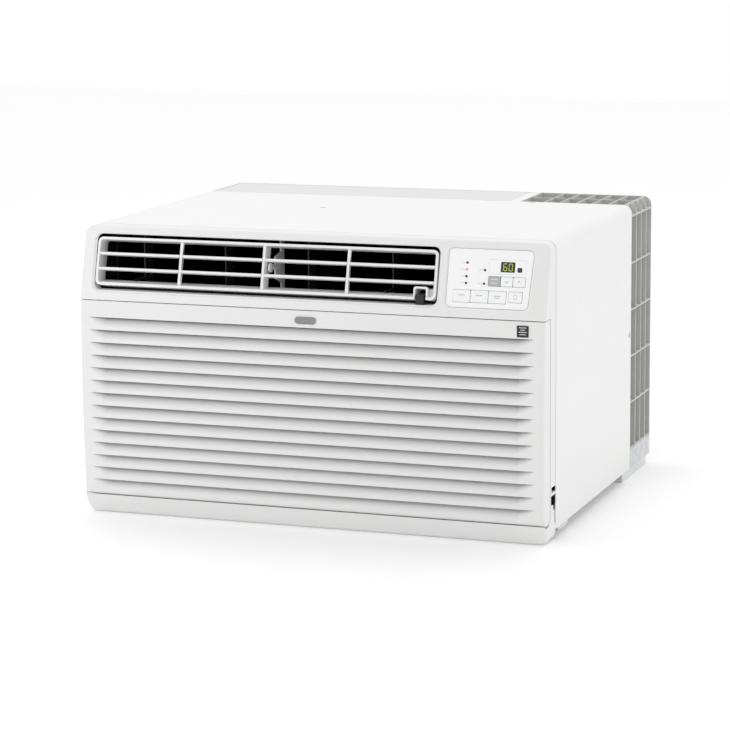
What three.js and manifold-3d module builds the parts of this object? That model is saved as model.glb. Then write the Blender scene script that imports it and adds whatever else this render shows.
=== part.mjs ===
// A through-the-wall room air conditioner, built the way it comes apart on a bench.
// Units are millimetres. +X is to the right of someone facing the front, +Y runs from the front to the
// back and +Z is up. The origin is on the floor, under the middle of the case.
import * as THREE from "three";
import { mergeVertices } from "three/addons/utils/BufferGeometryUtils.js";
import Module from "manifold-3d";

const wasm = await Module();
wasm.setup();

// ---------- Driving dimensions ----------

// The case.
const WIDTH = 610;
const HEIGHT = 367;
const CASING_DEPTH = 48; // how far the plastic front stands ahead of the steel cabinet
const CABINET_DEPTH = 357;
const CAGE_DEPTH = 105;
const TOP_RADIUS = 11;
const CASING_WALL = 3;
const SHEET = 1.5;
const PAN_HEIGHT = 13; // underside of the base pan above the floor
const FIT = 0.4; // gap between pieces that touch
const RUNNING = 0.3; // gap round a pin or a shaft

// The front casing.
const STRIP_HEIGHT = 25.5; // bottom strip, under the inlet grille
const STRIP_LEAN = 12.5;
const HEAD_HEIGHT = 91; // upper part, with the outlet and the controls
const HEAD_LEAN = THREE.MathUtils.degToRad(14.7);
const FACE_BOW = 3.5;
const CASING_HEEL = 12;
const BROW = 6;

// The inlet grille and the filter behind it.
const LOUVRE_COUNT = 14;
const LOUVRE_TOP_LAND = 21;
const LOUVRE_BOTTOM_LAND = 3;
const LOUVRE_RECESS = 6;
const LOUVRE_SLOT = 4.5;
const LOUVRE_THICKNESS = 1.8;
const LOUVRE_MARGIN = 16.5;
const GRILLE_WRAP = 22.5; // how far the grille reaches back round the sides
const GRILLE_PIVOT_RADIUS = 8.5;
const GRILLE_PIVOT_Z = 32;
const PIN_RADIUS = 1.8;
const LUG_WIDTH = 4;
const LUG_MARGIN = 15;
const FILTER_THICKNESS = 4;

// The air outlet, its louvre frame and its vanes.
const OUTLET_LEFT_MARGIN = 17;
const OUTLET_RIGHT_MARGIN = 137.5;
const OUTLET_BOTTOM = 12; // above the seam between head and grille
const OUTLET_HEIGHT = 69;
const OUTLET_RADIUS = 8;
const LOUVRE_FRAME_GAP = 1.8;
const LOUVRE_SWING_GAP = 4; // above and below the louvre frame
const LOUVRE_FRAME_DEPTH = 22;
const LOUVRE_FRAME_WALL = 3.5;
const LOUVRE_PIVOT_DEPTH = 20.5; // ahead of the cabinet
const LOUVRE_PIN_RADIUS = 3;
const SLAT_THICKNESS = 3.4;
const BAY_COUNT = 4;
const HUB_RADIUS = 6;
const DUCT_WALL = 2.4;
const VANE_PIVOT_DEPTH = 24; // behind the front of the cabinet
const VANE_FRONT = 16;
const VANE_REAR = 10;
const VANE_THICKNESS = 2;
const VANE_PIN_RADIUS = 2;
const VANE_LINK_ARM = 8;
const VANE_SHARE = 0.4; // where a vane stands in its bay
const TAB_LENGTH = 30;
const VENT_KNOB_WIDTH = 10;
const VENT_KNOB_HEIGHT = 11.5;
const VENT_NOTCH = 13;
const VENT_MARGIN = 21.5; // from the outlet's right end to the middle of the knob

// The control panel, in the plane of the leaning head.
const PANEL_LEFT_MARGIN = 126;
const PANEL_RIGHT_MARGIN = 20;
const PANEL_SLANT = 3.8;
const PANEL_BOTTOM = 12.6;
const PANEL_HEIGHT = 71;
const PANEL_RADIUS = 6;
const PANEL_RECESS = 1.2;
const PANEL_THICKNESS = 3;
const BUTTON_PROUD = 0.5;
const BUTTON_DEPTH = 4.4;
const BUTTON_GAP = 0.6;
const LAMP_RADIUS = 1.2;
const LAMP_PITCH = 8.2;

// The works inside.
const COIL_DEPTH = 42;
const BLOWER_DEPTH = 85;
const BLOWER_RADIUS = 88;
const BLOWER_BLADES = 16;
const BLOWER_WALL = 4;
const SHAFT_RADIUS = 5;
const MOTOR_RADIUS = 55;
const MOTOR_LENGTH = 70;
const FAN_RADIUS = 130;
const FAN_CLEARANCE = 20.5; // between the condenser fan's ring and the pan
const FAN_DEPTH = 26;
const FAN_BLADES = 5;
const SHROUD_DEPTH = 300; // behind the front of the cabinet
const COMPRESSOR_RADIUS = 56;
const COMPRESSOR_HEIGHT = 222;
const CONDENSER_DEPTH = 40;
const TUBE_RADIUS = 5;
const WORKS_WIDTH = 155; // space kept on the right for the compressor

// The rear cage.
const CAGE_FOOT = 39; // underside of the cage above the floor
const RIB = 2;
const RIB_DEPTH = 12;
const CAGE_ROWS = 5;
const SIDE_COLUMNS = 4;
const BACK_COLUMNS = 10;
const TOP_COLUMNS = 6;
const TOP_GRID_WIDTH = 154; // from the brace to the right side
const BRACE_WIDTH = 14.5;

// ---------- Places worked out from them ----------

const DEPTH = CASING_DEPTH + CABINET_DEPTH + CAGE_DEPTH;
const LEFT = -WIDTH / 2;
const RIGHT = WIDTH / 2;
const SEAM_Y = CASING_DEPTH - DEPTH / 2;
const CAGE_Y = SEAM_Y + CABINET_DEPTH;
const REAR_Y = DEPTH / 2;
const HEAD_Z = HEIGHT - HEAD_HEIGHT;
const FLOOR_Z = PAN_HEIGHT + SHEET;
const FACE_REACH = CASING_DEPTH - FACE_BOW;
const OUTLET_X0 = LEFT + OUTLET_LEFT_MARGIN;
const OUTLET_X1 = RIGHT - OUTLET_RIGHT_MARGIN;
const OUTLET_Z0 = HEAD_Z + OUTLET_BOTTOM;
const OUTLET_Z1 = OUTLET_Z0 + OUTLET_HEIGHT;
const LOUVRE_Z = (OUTLET_Z0 + OUTLET_Z1) / 2;
const LOUVRE_FRAME_HEIGHT = OUTLET_HEIGHT - 2 * LOUVRE_SWING_GAP;
const SLAT_OFFSET = (LOUVRE_FRAME_HEIGHT - 2 * LOUVRE_FRAME_WALL + SLAT_THICKNESS) / 6;
const LOUVRE_Y = SEAM_Y - LOUVRE_PIVOT_DEPTH;
const LOUVRE_X0 = OUTLET_X0 + LOUVRE_FRAME_GAP;
const LOUVRE_X1 = OUTLET_X1 - LOUVRE_FRAME_GAP;
const BAY = (LOUVRE_X1 - LOUVRE_X0 - 2 * LOUVRE_FRAME_WALL) / BAY_COUNT;
const DUCT_X0 = OUTLET_X0 - 1.6;
const DUCT_X1 = OUTLET_X1 + 1.6;
const DUCT_Z0 = OUTLET_Z0 - 1.4;
const DUCT_Z1 = OUTLET_Z1 + 1.2;
const DUCT_REAR = 32.6;
const BLOWER_Y = SEAM_Y + DUCT_REAR + FIT;
const BULKHEAD_Y = BLOWER_Y + BLOWER_DEPTH + 6;
const AXIS_X = (DUCT_X0 + DUCT_X1) / 2;
const AXIS_Z = FLOOR_Z + FAN_CLEARANCE + FAN_RADIUS;
const VANE_X = [0, 1, 2, 3].map((i) => LOUVRE_X0 + LOUVRE_FRAME_WALL + BAY * (i + VANE_SHARE));
const VANE_Y = SEAM_Y + VANE_PIVOT_DEPTH;
const GRILLE_PIVOT_Y = SEAM_Y - FACE_REACH + GRILLE_PIVOT_RADIUS;
const SHROUD_Y = SEAM_Y + SHROUD_DEPTH;
const SHROUD_X1 = RIGHT - WORKS_WIDTH;
const CONDENSER_Y = REAR_Y - RIB_DEPTH - 5 - CONDENSER_DEPTH;
const LUG_X = [LEFT + LUG_MARGIN, RIGHT - LUG_MARGIN - LUG_WIDTH];
const BRACE_X1 = RIGHT - TOP_GRID_WIDTH;
const BRACE_X0 = BRACE_X1 - BRACE_WIDTH;

// How far the front surface stands ahead of the cabinet at a height.
function reach(z) {
  if (z <= STRIP_HEIGHT) return FACE_REACH - STRIP_LEAN * (1 - z / STRIP_HEIGHT);
  if (z <= HEAD_Z) {
    const share = (z - STRIP_HEIGHT) / (HEAD_Z - STRIP_HEIGHT);
    return FACE_REACH + FACE_BOW * Math.sin(Math.PI * share);
  }
  return FACE_REACH - (z - HEAD_Z) * Math.tan(HEAD_LEAN);
}

// ---------- Materials ----------

function finish(color, roughness, metalness = 0) {
  return new THREE.MeshStandardMaterial({ color, roughness, metalness, flatShading: true });
}

const whitePlastic = finish(0xf1f2f1, 0.45);
const whitePaint = finish(0xf4f5f4, 0.35, 0.1);
const glossPanel = finish(0xf8f8f8, 0.2);
const buttonPlastic = finish(0xf3f4f4, 0.4);
const greyButton = finish(0xb9bbbd, 0.4);
const darkWindow = finish(0x20241c, 0.15);
const blackPlastic = finish(0x161717, 0.6);
const cagePlastic = finish(0xc9cac6, 0.5);
const platePlastic = finish(0xe2e3e2, 0.5);
const galvanised = finish(0xc6c8cc, 0.4, 0.8);
const foam = finish(0x1d1e1f, 0.9);
const finMetal = finish(0xa8aaa6, 0.5, 0.7);
const copper = finish(0xb8704a, 0.35, 0.9);
const compressorPaint = finish(0x1a1b1c, 0.4, 0.2);
const motorSteel = finish(0x9a9c9e, 0.45, 0.7);
const rubber = finish(0x222222, 0.9);
const boardGreen = finish(0x2d5a3a, 0.6);
const filterMesh = finish(0x4d5154, 0.8);
const lampPlastic = finish(0x3a2a26, 0.3);
const badgeGrey = finish(0x8d9093, 0.3, 0.5);
const stickerBlack = finish(0x1b1c1e, 0.5);
const zinc = finish(0xb5b7ba, 0.35, 0.9);
const capacitorSkin = finish(0xbfc2c6, 0.3, 0.8);
const fanPlastic = finish(0x6d7072, 0.5);

// ---------- Making solids ----------

// A closed geometry as a solid that can be joined and cut.
function solid(geometry) {
  const bare = geometry.index ? geometry.toNonIndexed() : geometry.clone();
  bare.deleteAttribute("normal");
  bare.deleteAttribute("uv");
  const merged = mergeVertices(bare, 1e-4);
  const corners = merged.index.array;
  const kept = [];
  for (let i = 0; i < corners.length; i += 3) {
    const [a, b, c] = corners.slice(i, i + 3);
    if (a !== b && b !== c && c !== a) kept.push(a, b, c);
  }
  const mesh = new wasm.Mesh({
    numProp: 3,
    vertProperties: merged.attributes.position.array,
    triVerts: new Uint32Array(kept),
  });
  return new wasm.Manifold(mesh);
}

function join(...solids) {
  return solids.flat().reduce((whole, piece) => whole.add(piece));
}

function cut(whole, ...tools) {
  return tools.flat().reduce((left, tool) => left.subtract(tool), whole);
}

function box(x0, x1, y0, y1, z0, z1) {
  const geometry = new THREE.BoxGeometry(x1 - x0, y1 - y0, z1 - z0);
  return solid(geometry.translate((x0 + x1) / 2, (y0 + y1) / 2, (z0 + z1) / 2));
}

function outline(points) {
  return new THREE.Shape(points.map(([a, b]) => new THREE.Vector2(a, b)));
}

function roundedRect(x0, x1, y0, y1, r) {
  const shape = new THREE.Shape();
  shape.absarc(x1 - r, y0 + r, r, -Math.PI / 2, 0);
  shape.absarc(x1 - r, y1 - r, r, 0, Math.PI / 2);
  shape.absarc(x0 + r, y1 - r, r, Math.PI / 2, Math.PI);
  shape.absarc(x0 + r, y0 + r, r, Math.PI, Math.PI * 1.5);
  return shape;
}

function extrusion(shape, depth, curveSegments = 2) {
  return new THREE.ExtrudeGeometry(shape, { depth, bevelEnabled: false, curveSegments });
}

// An outline in (y, z), drawn out along X.
function alongX(shape, x0, x1, curveSegments) {
  const turn = new THREE.Matrix4().set(0, 0, 1, x0, 1, 0, 0, 0, 0, 1, 0, 0, 0, 0, 0, 1);
  return solid(extrusion(shape, x1 - x0, curveSegments).applyMatrix4(turn));
}

// An outline in (x, z), drawn out along Y.
function alongY(shape, y0, y1, curveSegments) {
  return solid(extrusion(shape, y1 - y0, curveSegments).rotateX(Math.PI / 2).translate(0, y1, 0));
}

// An outline in (x, y), drawn out along Z.
function alongZ(shape, z0, z1, curveSegments) {
  return solid(extrusion(shape, z1 - z0, curveSegments).translate(0, 0, z0));
}

function rodX(radius, x0, x1, y, z, sides = 10) {
  const geometry = new THREE.CylinderGeometry(radius, radius, x1 - x0, sides).rotateZ(Math.PI / 2);
  return solid(geometry.translate((x0 + x1) / 2, y, z));
}

function rodY(radius, x, y0, y1, z, sides = 12) {
  const geometry = new THREE.CylinderGeometry(radius, radius, y1 - y0, sides);
  return solid(geometry.translate(x, (y0 + y1) / 2, z));
}

function rodZ(radius, x, y, z0, z1, sides = 10) {
  const geometry = new THREE.CylinderGeometry(radius, radius, z1 - z0, sides).rotateX(Math.PI / 2);
  return solid(geometry.translate(x, y, (z0 + z1) / 2));
}

// A shape turned round the vertical line through (x, y), from [radius, height] pairs, bottom to top.
function turned(profile, x, y, sides = 20) {
  const points = profile.map(([radius, height]) => new THREE.Vector2(radius, height));
  return solid(new THREE.LatheGeometry(points, sides).rotateX(Math.PI / 2).translate(x, y, 0));
}

function tube(points, radius, steps, sides = 6) {
  const path = new THREE.CatmullRomCurve3(points.map((p) => new THREE.Vector3(...p)), false, "centripetal");
  const ring = new THREE.Shape().absarc(0, 0, radius, 0, Math.PI * 2);
  const settings = { steps, extrudePath: path, curveSegments: sides / 2, bevelEnabled: false };
  return solid(new THREE.ExtrudeGeometry(ring, settings));
}

const unit = new THREE.Group();

function add(name, made, material, parent = unit) {
  const mesh = made.getMesh();
  const geometry = new THREE.BufferGeometry();
  geometry.setAttribute("position", new THREE.BufferAttribute(mesh.vertProperties, 3));
  geometry.setIndex(new THREE.BufferAttribute(mesh.triVerts, 1));
  geometry.computeVertexNormals();
  const piece = new THREE.Mesh(geometry, material);
  piece.name = name;
  parent.add(piece);
  return piece;
}

// The leaning plane of the head: its own X is the unit's, its Y climbs the face, its Z points out.
const head = new THREE.Group();
head.position.set(0, SEAM_Y - FACE_REACH, HEAD_Z);
head.rotation.x = Math.PI / 2 - HEAD_LEAN;
head.updateMatrix();
unit.add(head);

function onHead(shape, w0, w1, curveSegments) {
  const geometry = extrusion(shape, w1 - w0, curveSegments).translate(0, 0, w0);
  return solid(geometry.applyMatrix4(head.matrix));
}

// ---------- Front casing ----------

const PANEL_X0 = RIGHT - PANEL_LEFT_MARGIN;
const PANEL_X1 = RIGHT - PANEL_RIGHT_MARGIN;

// The control panel's outline on the head, grown by a gap all round.
function panelOutline(grow) {
  const bottom = PANEL_BOTTOM - grow;
  const top = PANEL_BOTTOM + PANEL_HEIGHT + grow;
  const left = PANEL_X0 - grow;
  const right = PANEL_X1 + grow;
  const r = PANEL_RADIUS + grow;
  const shape = new THREE.Shape();
  shape.absarc(right - PANEL_SLANT - r, bottom + r, r, -Math.PI / 2, 0);
  shape.absarc(right - r, top - r, r, 0, Math.PI / 2);
  shape.absarc(left + r, top - r, r, Math.PI / 2, Math.PI);
  shape.absarc(left + r, bottom + r, r, Math.PI, Math.PI * 1.5);
  return shape;
}

// The casing's side outline in (y, z), set in from the outer surface.
function casingProfile(inset) {
  const heel = CASING_HEEL - inset;
  const top = HEIGHT - inset;
  const shape = new THREE.Shape();
  const y = (z) => SEAM_Y - reach(z) + inset;
  const rear = SEAM_Y + (inset > 0 ? 1 : 0);
  shape.moveTo(rear, top);
  shape.lineTo(y(top - BROW) + BROW * 0.9, top);
  shape.lineTo(y(top - BROW), top - BROW);
  shape.lineTo(y(HEAD_Z), HEAD_Z);
  for (const share of [0.75, 0.5, 0.25]) {
    const z = STRIP_HEIGHT + share * (HEAD_Z - STRIP_HEIGHT);
    shape.lineTo(y(z), z);
  }
  shape.lineTo(y(STRIP_HEIGHT), STRIP_HEIGHT);
  shape.lineTo(y(inset), inset);
  shape.lineTo(rear - heel, inset);
  shape.absarc(rear - heel, inset + heel, heel, -Math.PI / 2, 0);
  return shape;
}

function frontFrame() {
  const silhouette = roundedRect(LEFT, RIGHT, 0, HEIGHT, TOP_RADIUS);
  const shell = cut(
    alongX(casingProfile(0), LEFT, RIGHT).intersect(alongY(silhouette, SEAM_Y - CASING_DEPTH - 1, SEAM_Y)),
    alongX(casingProfile(CASING_WALL), LEFT + CASING_WALL, RIGHT - CASING_WALL),
  );
  const wrapY = SEAM_Y - FACE_REACH + GRILLE_WRAP - FIT;
  const trough = STRIP_HEIGHT - 3;
  const grilleSpace = cut(
    box(LEFT - 1, RIGHT + 1, SEAM_Y - CASING_DEPTH - 1, wrapY + 2 * FIT, trough, HEAD_Z),
    alongX(
      outline([
        [SEAM_Y - CASING_DEPTH - 1, trough - 1],
        [SEAM_Y - FACE_REACH + 3.5, trough - 1],
        [SEAM_Y - FACE_REACH, STRIP_HEIGHT],
        [SEAM_Y - CASING_DEPTH - 1, STRIP_HEIGHT],
      ]),
      LEFT - 2,
      RIGHT + 2,
    ),
  );
  const inner0 = LEFT + CASING_WALL - 1;
  const inner1 = RIGHT - CASING_WALL + 1;
  const ledge = box(
    inner0,
    inner1,
    SEAM_Y - FACE_REACH + 1,
    SEAM_Y - 6,
    HEAD_Z,
    HEAD_Z + CASING_WALL,
  );
  const shelf = box(inner0, inner1, SEAM_Y - FACE_REACH + 3.5, wrapY + 3, trough - CASING_WALL, trough);
  const lugs = LUG_X.map((x) =>
    cut(
      join(
        box(x, x + LUG_WIDTH, GRILLE_PIVOT_Y - 3.2, wrapY + 3, GRILLE_PIVOT_Z - 3.6, GRILLE_PIVOT_Z + 3.6),
        box(x, x + LUG_WIDTH, wrapY - 1, wrapY + 3, trough - 1, GRILLE_PIVOT_Z + 3),
      ),
      rodX(PIN_RADIUS + RUNNING, x - 1, x + LUG_WIDTH + 1, GRILLE_PIVOT_Y, GRILLE_PIVOT_Z),
    ),
  );
  const opening = alongY(
    roundedRect(OUTLET_X0, OUTLET_X1, OUTLET_Z0, OUTLET_Z1, OUTLET_RADIUS),
    SEAM_Y - CASING_DEPTH - 1,
    SEAM_Y - 12,
  );
  const panelHole = onHead(panelOutline(FIT), -CASING_WALL - 3, 2);
  const cordNotch = [
    box(RIGHT - CASING_WALL - 2, RIGHT + 1, SEAM_Y - 17, SEAM_Y + 1, 46.5, 57.5),
    box(RIGHT - CASING_WALL - 2, RIGHT + 1, SEAM_Y - 17, SEAM_Y + 1, 61.5, 67.5),
    box(RIGHT - CASING_WALL - 2, RIGHT + 1, SEAM_Y - 4, SEAM_Y + 1, 22, 47),
  ];
  return cut(join(cut(shell, grilleSpace), ledge, shelf, lugs), opening, panelHole, cordNotch);
}

add("front_frame", frontFrame(), whitePlastic);

// The inlet grille: a bowed face that wraps round the sides, with clapboard louvres.
const GRILLE_Z0 = STRIP_HEIGHT + 1;
const GRILLE_Z1 = HEAD_Z - 1;
const LOUVRE_Z1 = GRILLE_Z1 - LOUVRE_TOP_LAND;
const LOUVRE_Z0 = GRILLE_Z0 + LOUVRE_BOTTOM_LAND;
const LOUVRE_PITCH = (LOUVRE_Z1 - LOUVRE_Z0) / LOUVRE_COUNT;

function grilleFace(inset) {
  const front = (z) => SEAM_Y - reach(z) + inset;
  const rear = SEAM_Y - FACE_REACH + GRILLE_WRAP + (inset > 0 ? 1 : 0);
  const low = GRILLE_PIVOT_Z;
  const shape = new THREE.Shape();
  shape.moveTo(rear, GRILLE_Z1 - inset);
  for (const share of [1, 0.75, 0.5, 0.25]) {
    const z = low + share * (GRILLE_Z1 - low);
    shape.lineTo(front(z), Math.min(z, GRILLE_Z1 - inset));
  }
  shape.absarc(GRILLE_PIVOT_Y, low, GRILLE_PIVOT_RADIUS - inset, Math.PI, Math.PI * 1.5);
  shape.lineTo(GRILLE_PIVOT_Y + 5, low - GRILLE_PIVOT_RADIUS + inset);
  shape.lineTo(rear, low - 1 + inset);
  return shape;
}

function inletGrille() {
  const slotX0 = LEFT + LOUVRE_MARGIN;
  const slotX1 = RIGHT - LOUVRE_MARGIN;
  const shell = cut(
    alongX(grilleFace(0), LEFT, RIGHT),
    alongX(grilleFace(CASING_WALL), LEFT + CASING_WALL, RIGHT - CASING_WALL),
    box(slotX0, slotX1, SEAM_Y - CASING_DEPTH - 1, SEAM_Y - FACE_REACH + 8, LOUVRE_Z0, LOUVRE_Z1),
    LUG_X.map((x) =>
      box(x - 1, x + LUG_WIDTH + 1, GRILLE_PIVOT_Y - 2.5, SEAM_Y, 0, GRILLE_PIVOT_Z + 5),
    ),
  );
  const parts = [];
  for (let i = 0; i < LOUVRE_COUNT; i += 1) {
    const foot = LOUVRE_Z0 + i * LOUVRE_PITCH;
    const crown = foot + LOUVRE_PITCH - LOUVRE_SLOT;
    const front = SEAM_Y - reach(foot);
    const back = SEAM_Y - reach(crown) + LOUVRE_RECESS;
    const board = outline([
      [front, foot - (i === 0 ? 1 : 0)],
      [front + LOUVRE_THICKNESS, foot - (i === 0 ? 1 : 0)],
      [back + LOUVRE_THICKNESS, crown],
      [back, crown],
    ]);
    parts.push(alongX(board, slotX0 - 1, slotX1 + 1));
  }
  const ribX = [-0.3, 0, 0.3].map((share) => share * WIDTH);
  for (const x of ribX) {
    const ribY = SEAM_Y - FACE_REACH + 3;
    parts.push(box(x - 1, x + 1, ribY, ribY + 4.5, LOUVRE_Z0 - 4, LOUVRE_Z1 + 4));
  }
  const pins = [
    rodX(PIN_RADIUS, LEFT + 1, LUG_X[0] + LUG_WIDTH + 1, GRILLE_PIVOT_Y, GRILLE_PIVOT_Z),
    rodX(PIN_RADIUS, LUG_X[1] - 1, RIGHT - 1, GRILLE_PIVOT_Y, GRILLE_PIVOT_Z),
  ];
  return join(shell, parts, pins);
}

add("inlet_grille", inletGrille(), whitePlastic);

// The washable filter: a frame with a mesh, held in the back of the grille.
const FILTER_X0 = LEFT + 24;
const FILTER_X1 = RIGHT - 24;
const FILTER_Y = SEAM_Y - FACE_REACH + 9.5;
const FILTER_Z0 = LOUVRE_Z0 + 2;
const FILTER_Z1 = LOUVRE_Z1 + 2;
const FILTER_RIM = 7;

function filterFrame() {
  const y1 = FILTER_Y + FILTER_THICKNESS;
  const rim = cut(
    box(FILTER_X0, FILTER_X1, FILTER_Y, y1, FILTER_Z0, FILTER_Z1),
    box(
      FILTER_X0 + FILTER_RIM,
      FILTER_X1 - FILTER_RIM,
      FILTER_Y - 1,
      y1 + 1,
      FILTER_Z0 + FILTER_RIM,
      FILTER_Z1 - FILTER_RIM,
    ),
  );
  const bars = [-1, 1].map((side) => {
    const x = (side * WIDTH) / 9;
    return box(x - 1.5, x + 1.5, FILTER_Y + 1.8, y1, FILTER_Z0 + 2, FILTER_Z1 - 2);
  });
  return join(rim, bars);
}

add("filter_frame", filterFrame(), finish(0x3c4043, 0.6));
add(
  "filter_mesh",
  box(
    FILTER_X0 + FILTER_RIM + FIT,
    FILTER_X1 - FILTER_RIM - FIT,
    FILTER_Y + 0.6,
    FILTER_Y + 1.4,
    FILTER_Z0 + FILTER_RIM + FIT,
    FILTER_Z1 - FILTER_RIM - FIT,
  ),
  filterMesh,
);

// A blank badge and a plain dark sticker on the grille's top land.
function landPlate(x0, x1, z0, z1, radius, thickness) {
  const y = SEAM_Y - reach(z0) - thickness;
  return alongY(roundedRect(x0, x1, z0, z1, radius), y, y + thickness - 0.05);
}

const BADGE_Z = GRILLE_Z1 - 12;
add("badge_plate", landPlate(-14, 14, BADGE_Z - 4.5, BADGE_Z + 4.5, 4.4, 0.8), badgeGrey);
add(
  "efficiency_sticker",
  landPlate(RIGHT - 35, RIGHT - 20.5, BADGE_Z - 7, BADGE_Z + 7, 0.6, 0.35),
  stickerBlack,
);

// ---------- Air outlet ----------

const louvre = new THREE.Group();
louvre.position.set(0, LOUVRE_Y, LOUVRE_Z);
louvre.rotation.x = Math.PI / 2 - HEAD_LEAN;
unit.add(louvre);

const VENT_X = OUTLET_X1 - VENT_MARGIN;
const MIDDLE_BAR_X = LOUVRE_X0 + LOUVRE_FRAME_WALL + 2 * BAY;

// The tilting frame that points the air up or down, in its own leaning plane round its pins.
function louvreFrame() {
  const wall = LOUVRE_FRAME_WALL;
  const half = LOUVRE_FRAME_HEIGHT / 2;
  const front = LOUVRE_FRAME_DEPTH / 2;
  const ring = cut(
    alongZ(roundedRect(LOUVRE_X0, LOUVRE_X1, -half, half, 7), -front, front),
    alongZ(
      roundedRect(LOUVRE_X0 + wall, LOUVRE_X1 - wall, -half + wall, half - wall, 4),
      -front - 1,
      front + 1,
    ),
  );
  const slats = [-SLAT_OFFSET, SLAT_OFFSET].map((y) =>
    box(
      LOUVRE_X0 + 1,
      LOUVRE_X1 - 1,
      y - SLAT_THICKNESS / 2,
      y + SLAT_THICKNESS / 2,
      -4,
      front - 0.6,
    ),
  );
  const bars = [1, 2, 3].map((i) => {
    const x = LOUVRE_X0 + wall + i * BAY;
    return box(x - 2, x + 2, -half + 1, half - 1, -6, front - 0.3);
  });
  const notchTop = -half + VENT_NOTCH;
  const notchHalf = VENT_KNOB_WIDTH / 2 + 1.8;
  const bridge = box(
    VENT_X - notchHalf - 2.5,
    VENT_X + notchHalf + 2.5,
    -half + 0.5,
    notchTop + 2.5,
    -front,
    front,
  );
  const notch = box(VENT_X - notchHalf, VENT_X + notchHalf, -half - 1, notchTop, -front - 1, front + 1);
  const pins = [
    rodX(LOUVRE_PIN_RADIUS, LOUVRE_X0 - 5.4, LOUVRE_X0 + 1, 0, 0),
    rodX(LOUVRE_PIN_RADIUS, LOUVRE_X1 - 1, LOUVRE_X1 + 5.4, 0, 0),
    rodX(2.2, MIDDLE_BAR_X + 1, MIDDLE_BAR_X + 8.5, 0, 0),
  ];
  return cut(join(ring, slats, bars, bridge, pins), notch);
}

add("louvre_frame", louvreFrame(), whitePlastic, louvre);

// The duct behind the opening carries the louvre frame's pins in two ears, and the vanes' pins.
function outletDuct() {
  const front = SEAM_Y - 8;
  const rear = SEAM_Y + DUCT_REAR;
  const walls = cut(
    box(DUCT_X0 - DUCT_WALL, DUCT_X1 + DUCT_WALL, front, rear, DUCT_Z0 - DUCT_WALL, DUCT_Z1 + DUCT_WALL),
    box(DUCT_X0, DUCT_X1, front - 1, rear + 1, DUCT_Z0, DUCT_Z1),
  );
  const ears = [DUCT_X0 - DUCT_WALL, DUCT_X1].map((x) =>
    box(x, x + DUCT_WALL, LOUVRE_Y - 5.2, front + 1, LOUVRE_Z - 9, LOUVRE_Z + 9),
  );
  const pivot = LOUVRE_PIN_RADIUS + RUNNING;
  const holes = VANE_X.map((x) =>
    rodZ(VANE_PIN_RADIUS + RUNNING, x, VANE_Y, DUCT_Z0 - DUCT_WALL - 1, DUCT_Z1 + DUCT_WALL + 1, 8),
  );
  const pivotHole = rodX(pivot, DUCT_X0 - DUCT_WALL - 1, DUCT_X1 + DUCT_WALL + 1, LOUVRE_Y, LOUVRE_Z);
  return cut(join(walls, ears), holes, pivotHole);
}

add("outlet_duct", outletDuct(), blackPlastic);

// The post in the middle of the opening has the louvre frame's centre bearing on its arm.
function centrePost() {
  const x0 = MIDDLE_BAR_X + 4.2;
  const x1 = x0 + 2.5;
  const y = (ahead) => LOUVRE_Y + ahead;
  const z = (above) => LOUVRE_Z + above;
  const plate = box(x0, x1, y(34), y(44), DUCT_Z0 + FIT, DUCT_Z1 - FIT);
  const wing = outline([
    [y(14.5), z(-16)],
    [y(35), z(-24)],
    [y(35), z(16)],
    [y(14.5), z(12)],
  ]);
  const arm = box(x0, x1, y(0), y(20), z(-3), z(3));
  const hub = rodX(HUB_RADIUS, x0, x1, LOUVRE_Y, LOUVRE_Z, 14);
  const bearing = rodX(2.2 + RUNNING, x0 - 1, x1 + 1, LOUVRE_Y, LOUVRE_Z);
  return cut(join(plate, alongX(wing, x0, x1), arm, hub), bearing);
}

add("centre_post", centrePost(), whitePlastic);

// Four upright vanes steer the air left and right. The outer two carry the finger tabs.
const VANE_Z0 = DUCT_Z0 + 4.4;
const VANE_Z1 = DUCT_Z1 - 3.8;
const LINK_Z = DUCT_Z0 + 2.4;

function vane(hasTab) {
  const half = VANE_THICKNESS / 2;
  const parts = [
    box(-half, half, -VANE_FRONT, VANE_REAR, VANE_Z0, VANE_Z1),
    rodZ(VANE_PIN_RADIUS, 0, 0, DUCT_Z0 - DUCT_WALL + 0.6, VANE_Z0 + 2, 8),
    rodZ(VANE_PIN_RADIUS, 0, 0, VANE_Z1 - 2, DUCT_Z1 + DUCT_WALL - 0.6, 8),
    rodZ(1.5, 0, VANE_LINK_ARM, LINK_Z - 1.6, VANE_Z0 + 1, 8),
  ];
  if (hasTab) {
    parts.push(box(-half, half, -VANE_FRONT - TAB_LENGTH, 1 - VANE_FRONT, VANE_Z0 + 5.6, VANE_Z0 + 9));
  }
  return join(parts);
}

VANE_X.forEach((x, i) => {
  const piece = add(`vane_${i + 1}`, vane(i === 0 || i === 3), blackPlastic);
  piece.position.set(x, VANE_Y, 0);
});

// Each pair of vanes turns together on a link.
function vaneLink(x0, x1) {
  const y = VANE_Y + VANE_LINK_ARM;
  const bar = alongZ(roundedRect(x0 - 3, x1 + 3, y - 3, y + 3, 2.9), LINK_Z - 1, LINK_Z + 1, 2);
  return cut(bar, [x0, x1].map((x) => rodZ(1.9, x, y, LINK_Z - 2, LINK_Z + 2, 8)));
}

add("vane_link_left", vaneLink(VANE_X[0], VANE_X[1]), blackPlastic);
add("vane_link_right", vaneLink(VANE_X[2], VANE_X[3]), blackPlastic);

// The fresh-air vent: a pull knob with a rod at the right end of the outlet.
const KNOB_Z0 = OUTLET_Z0 + 0.8;

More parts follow.
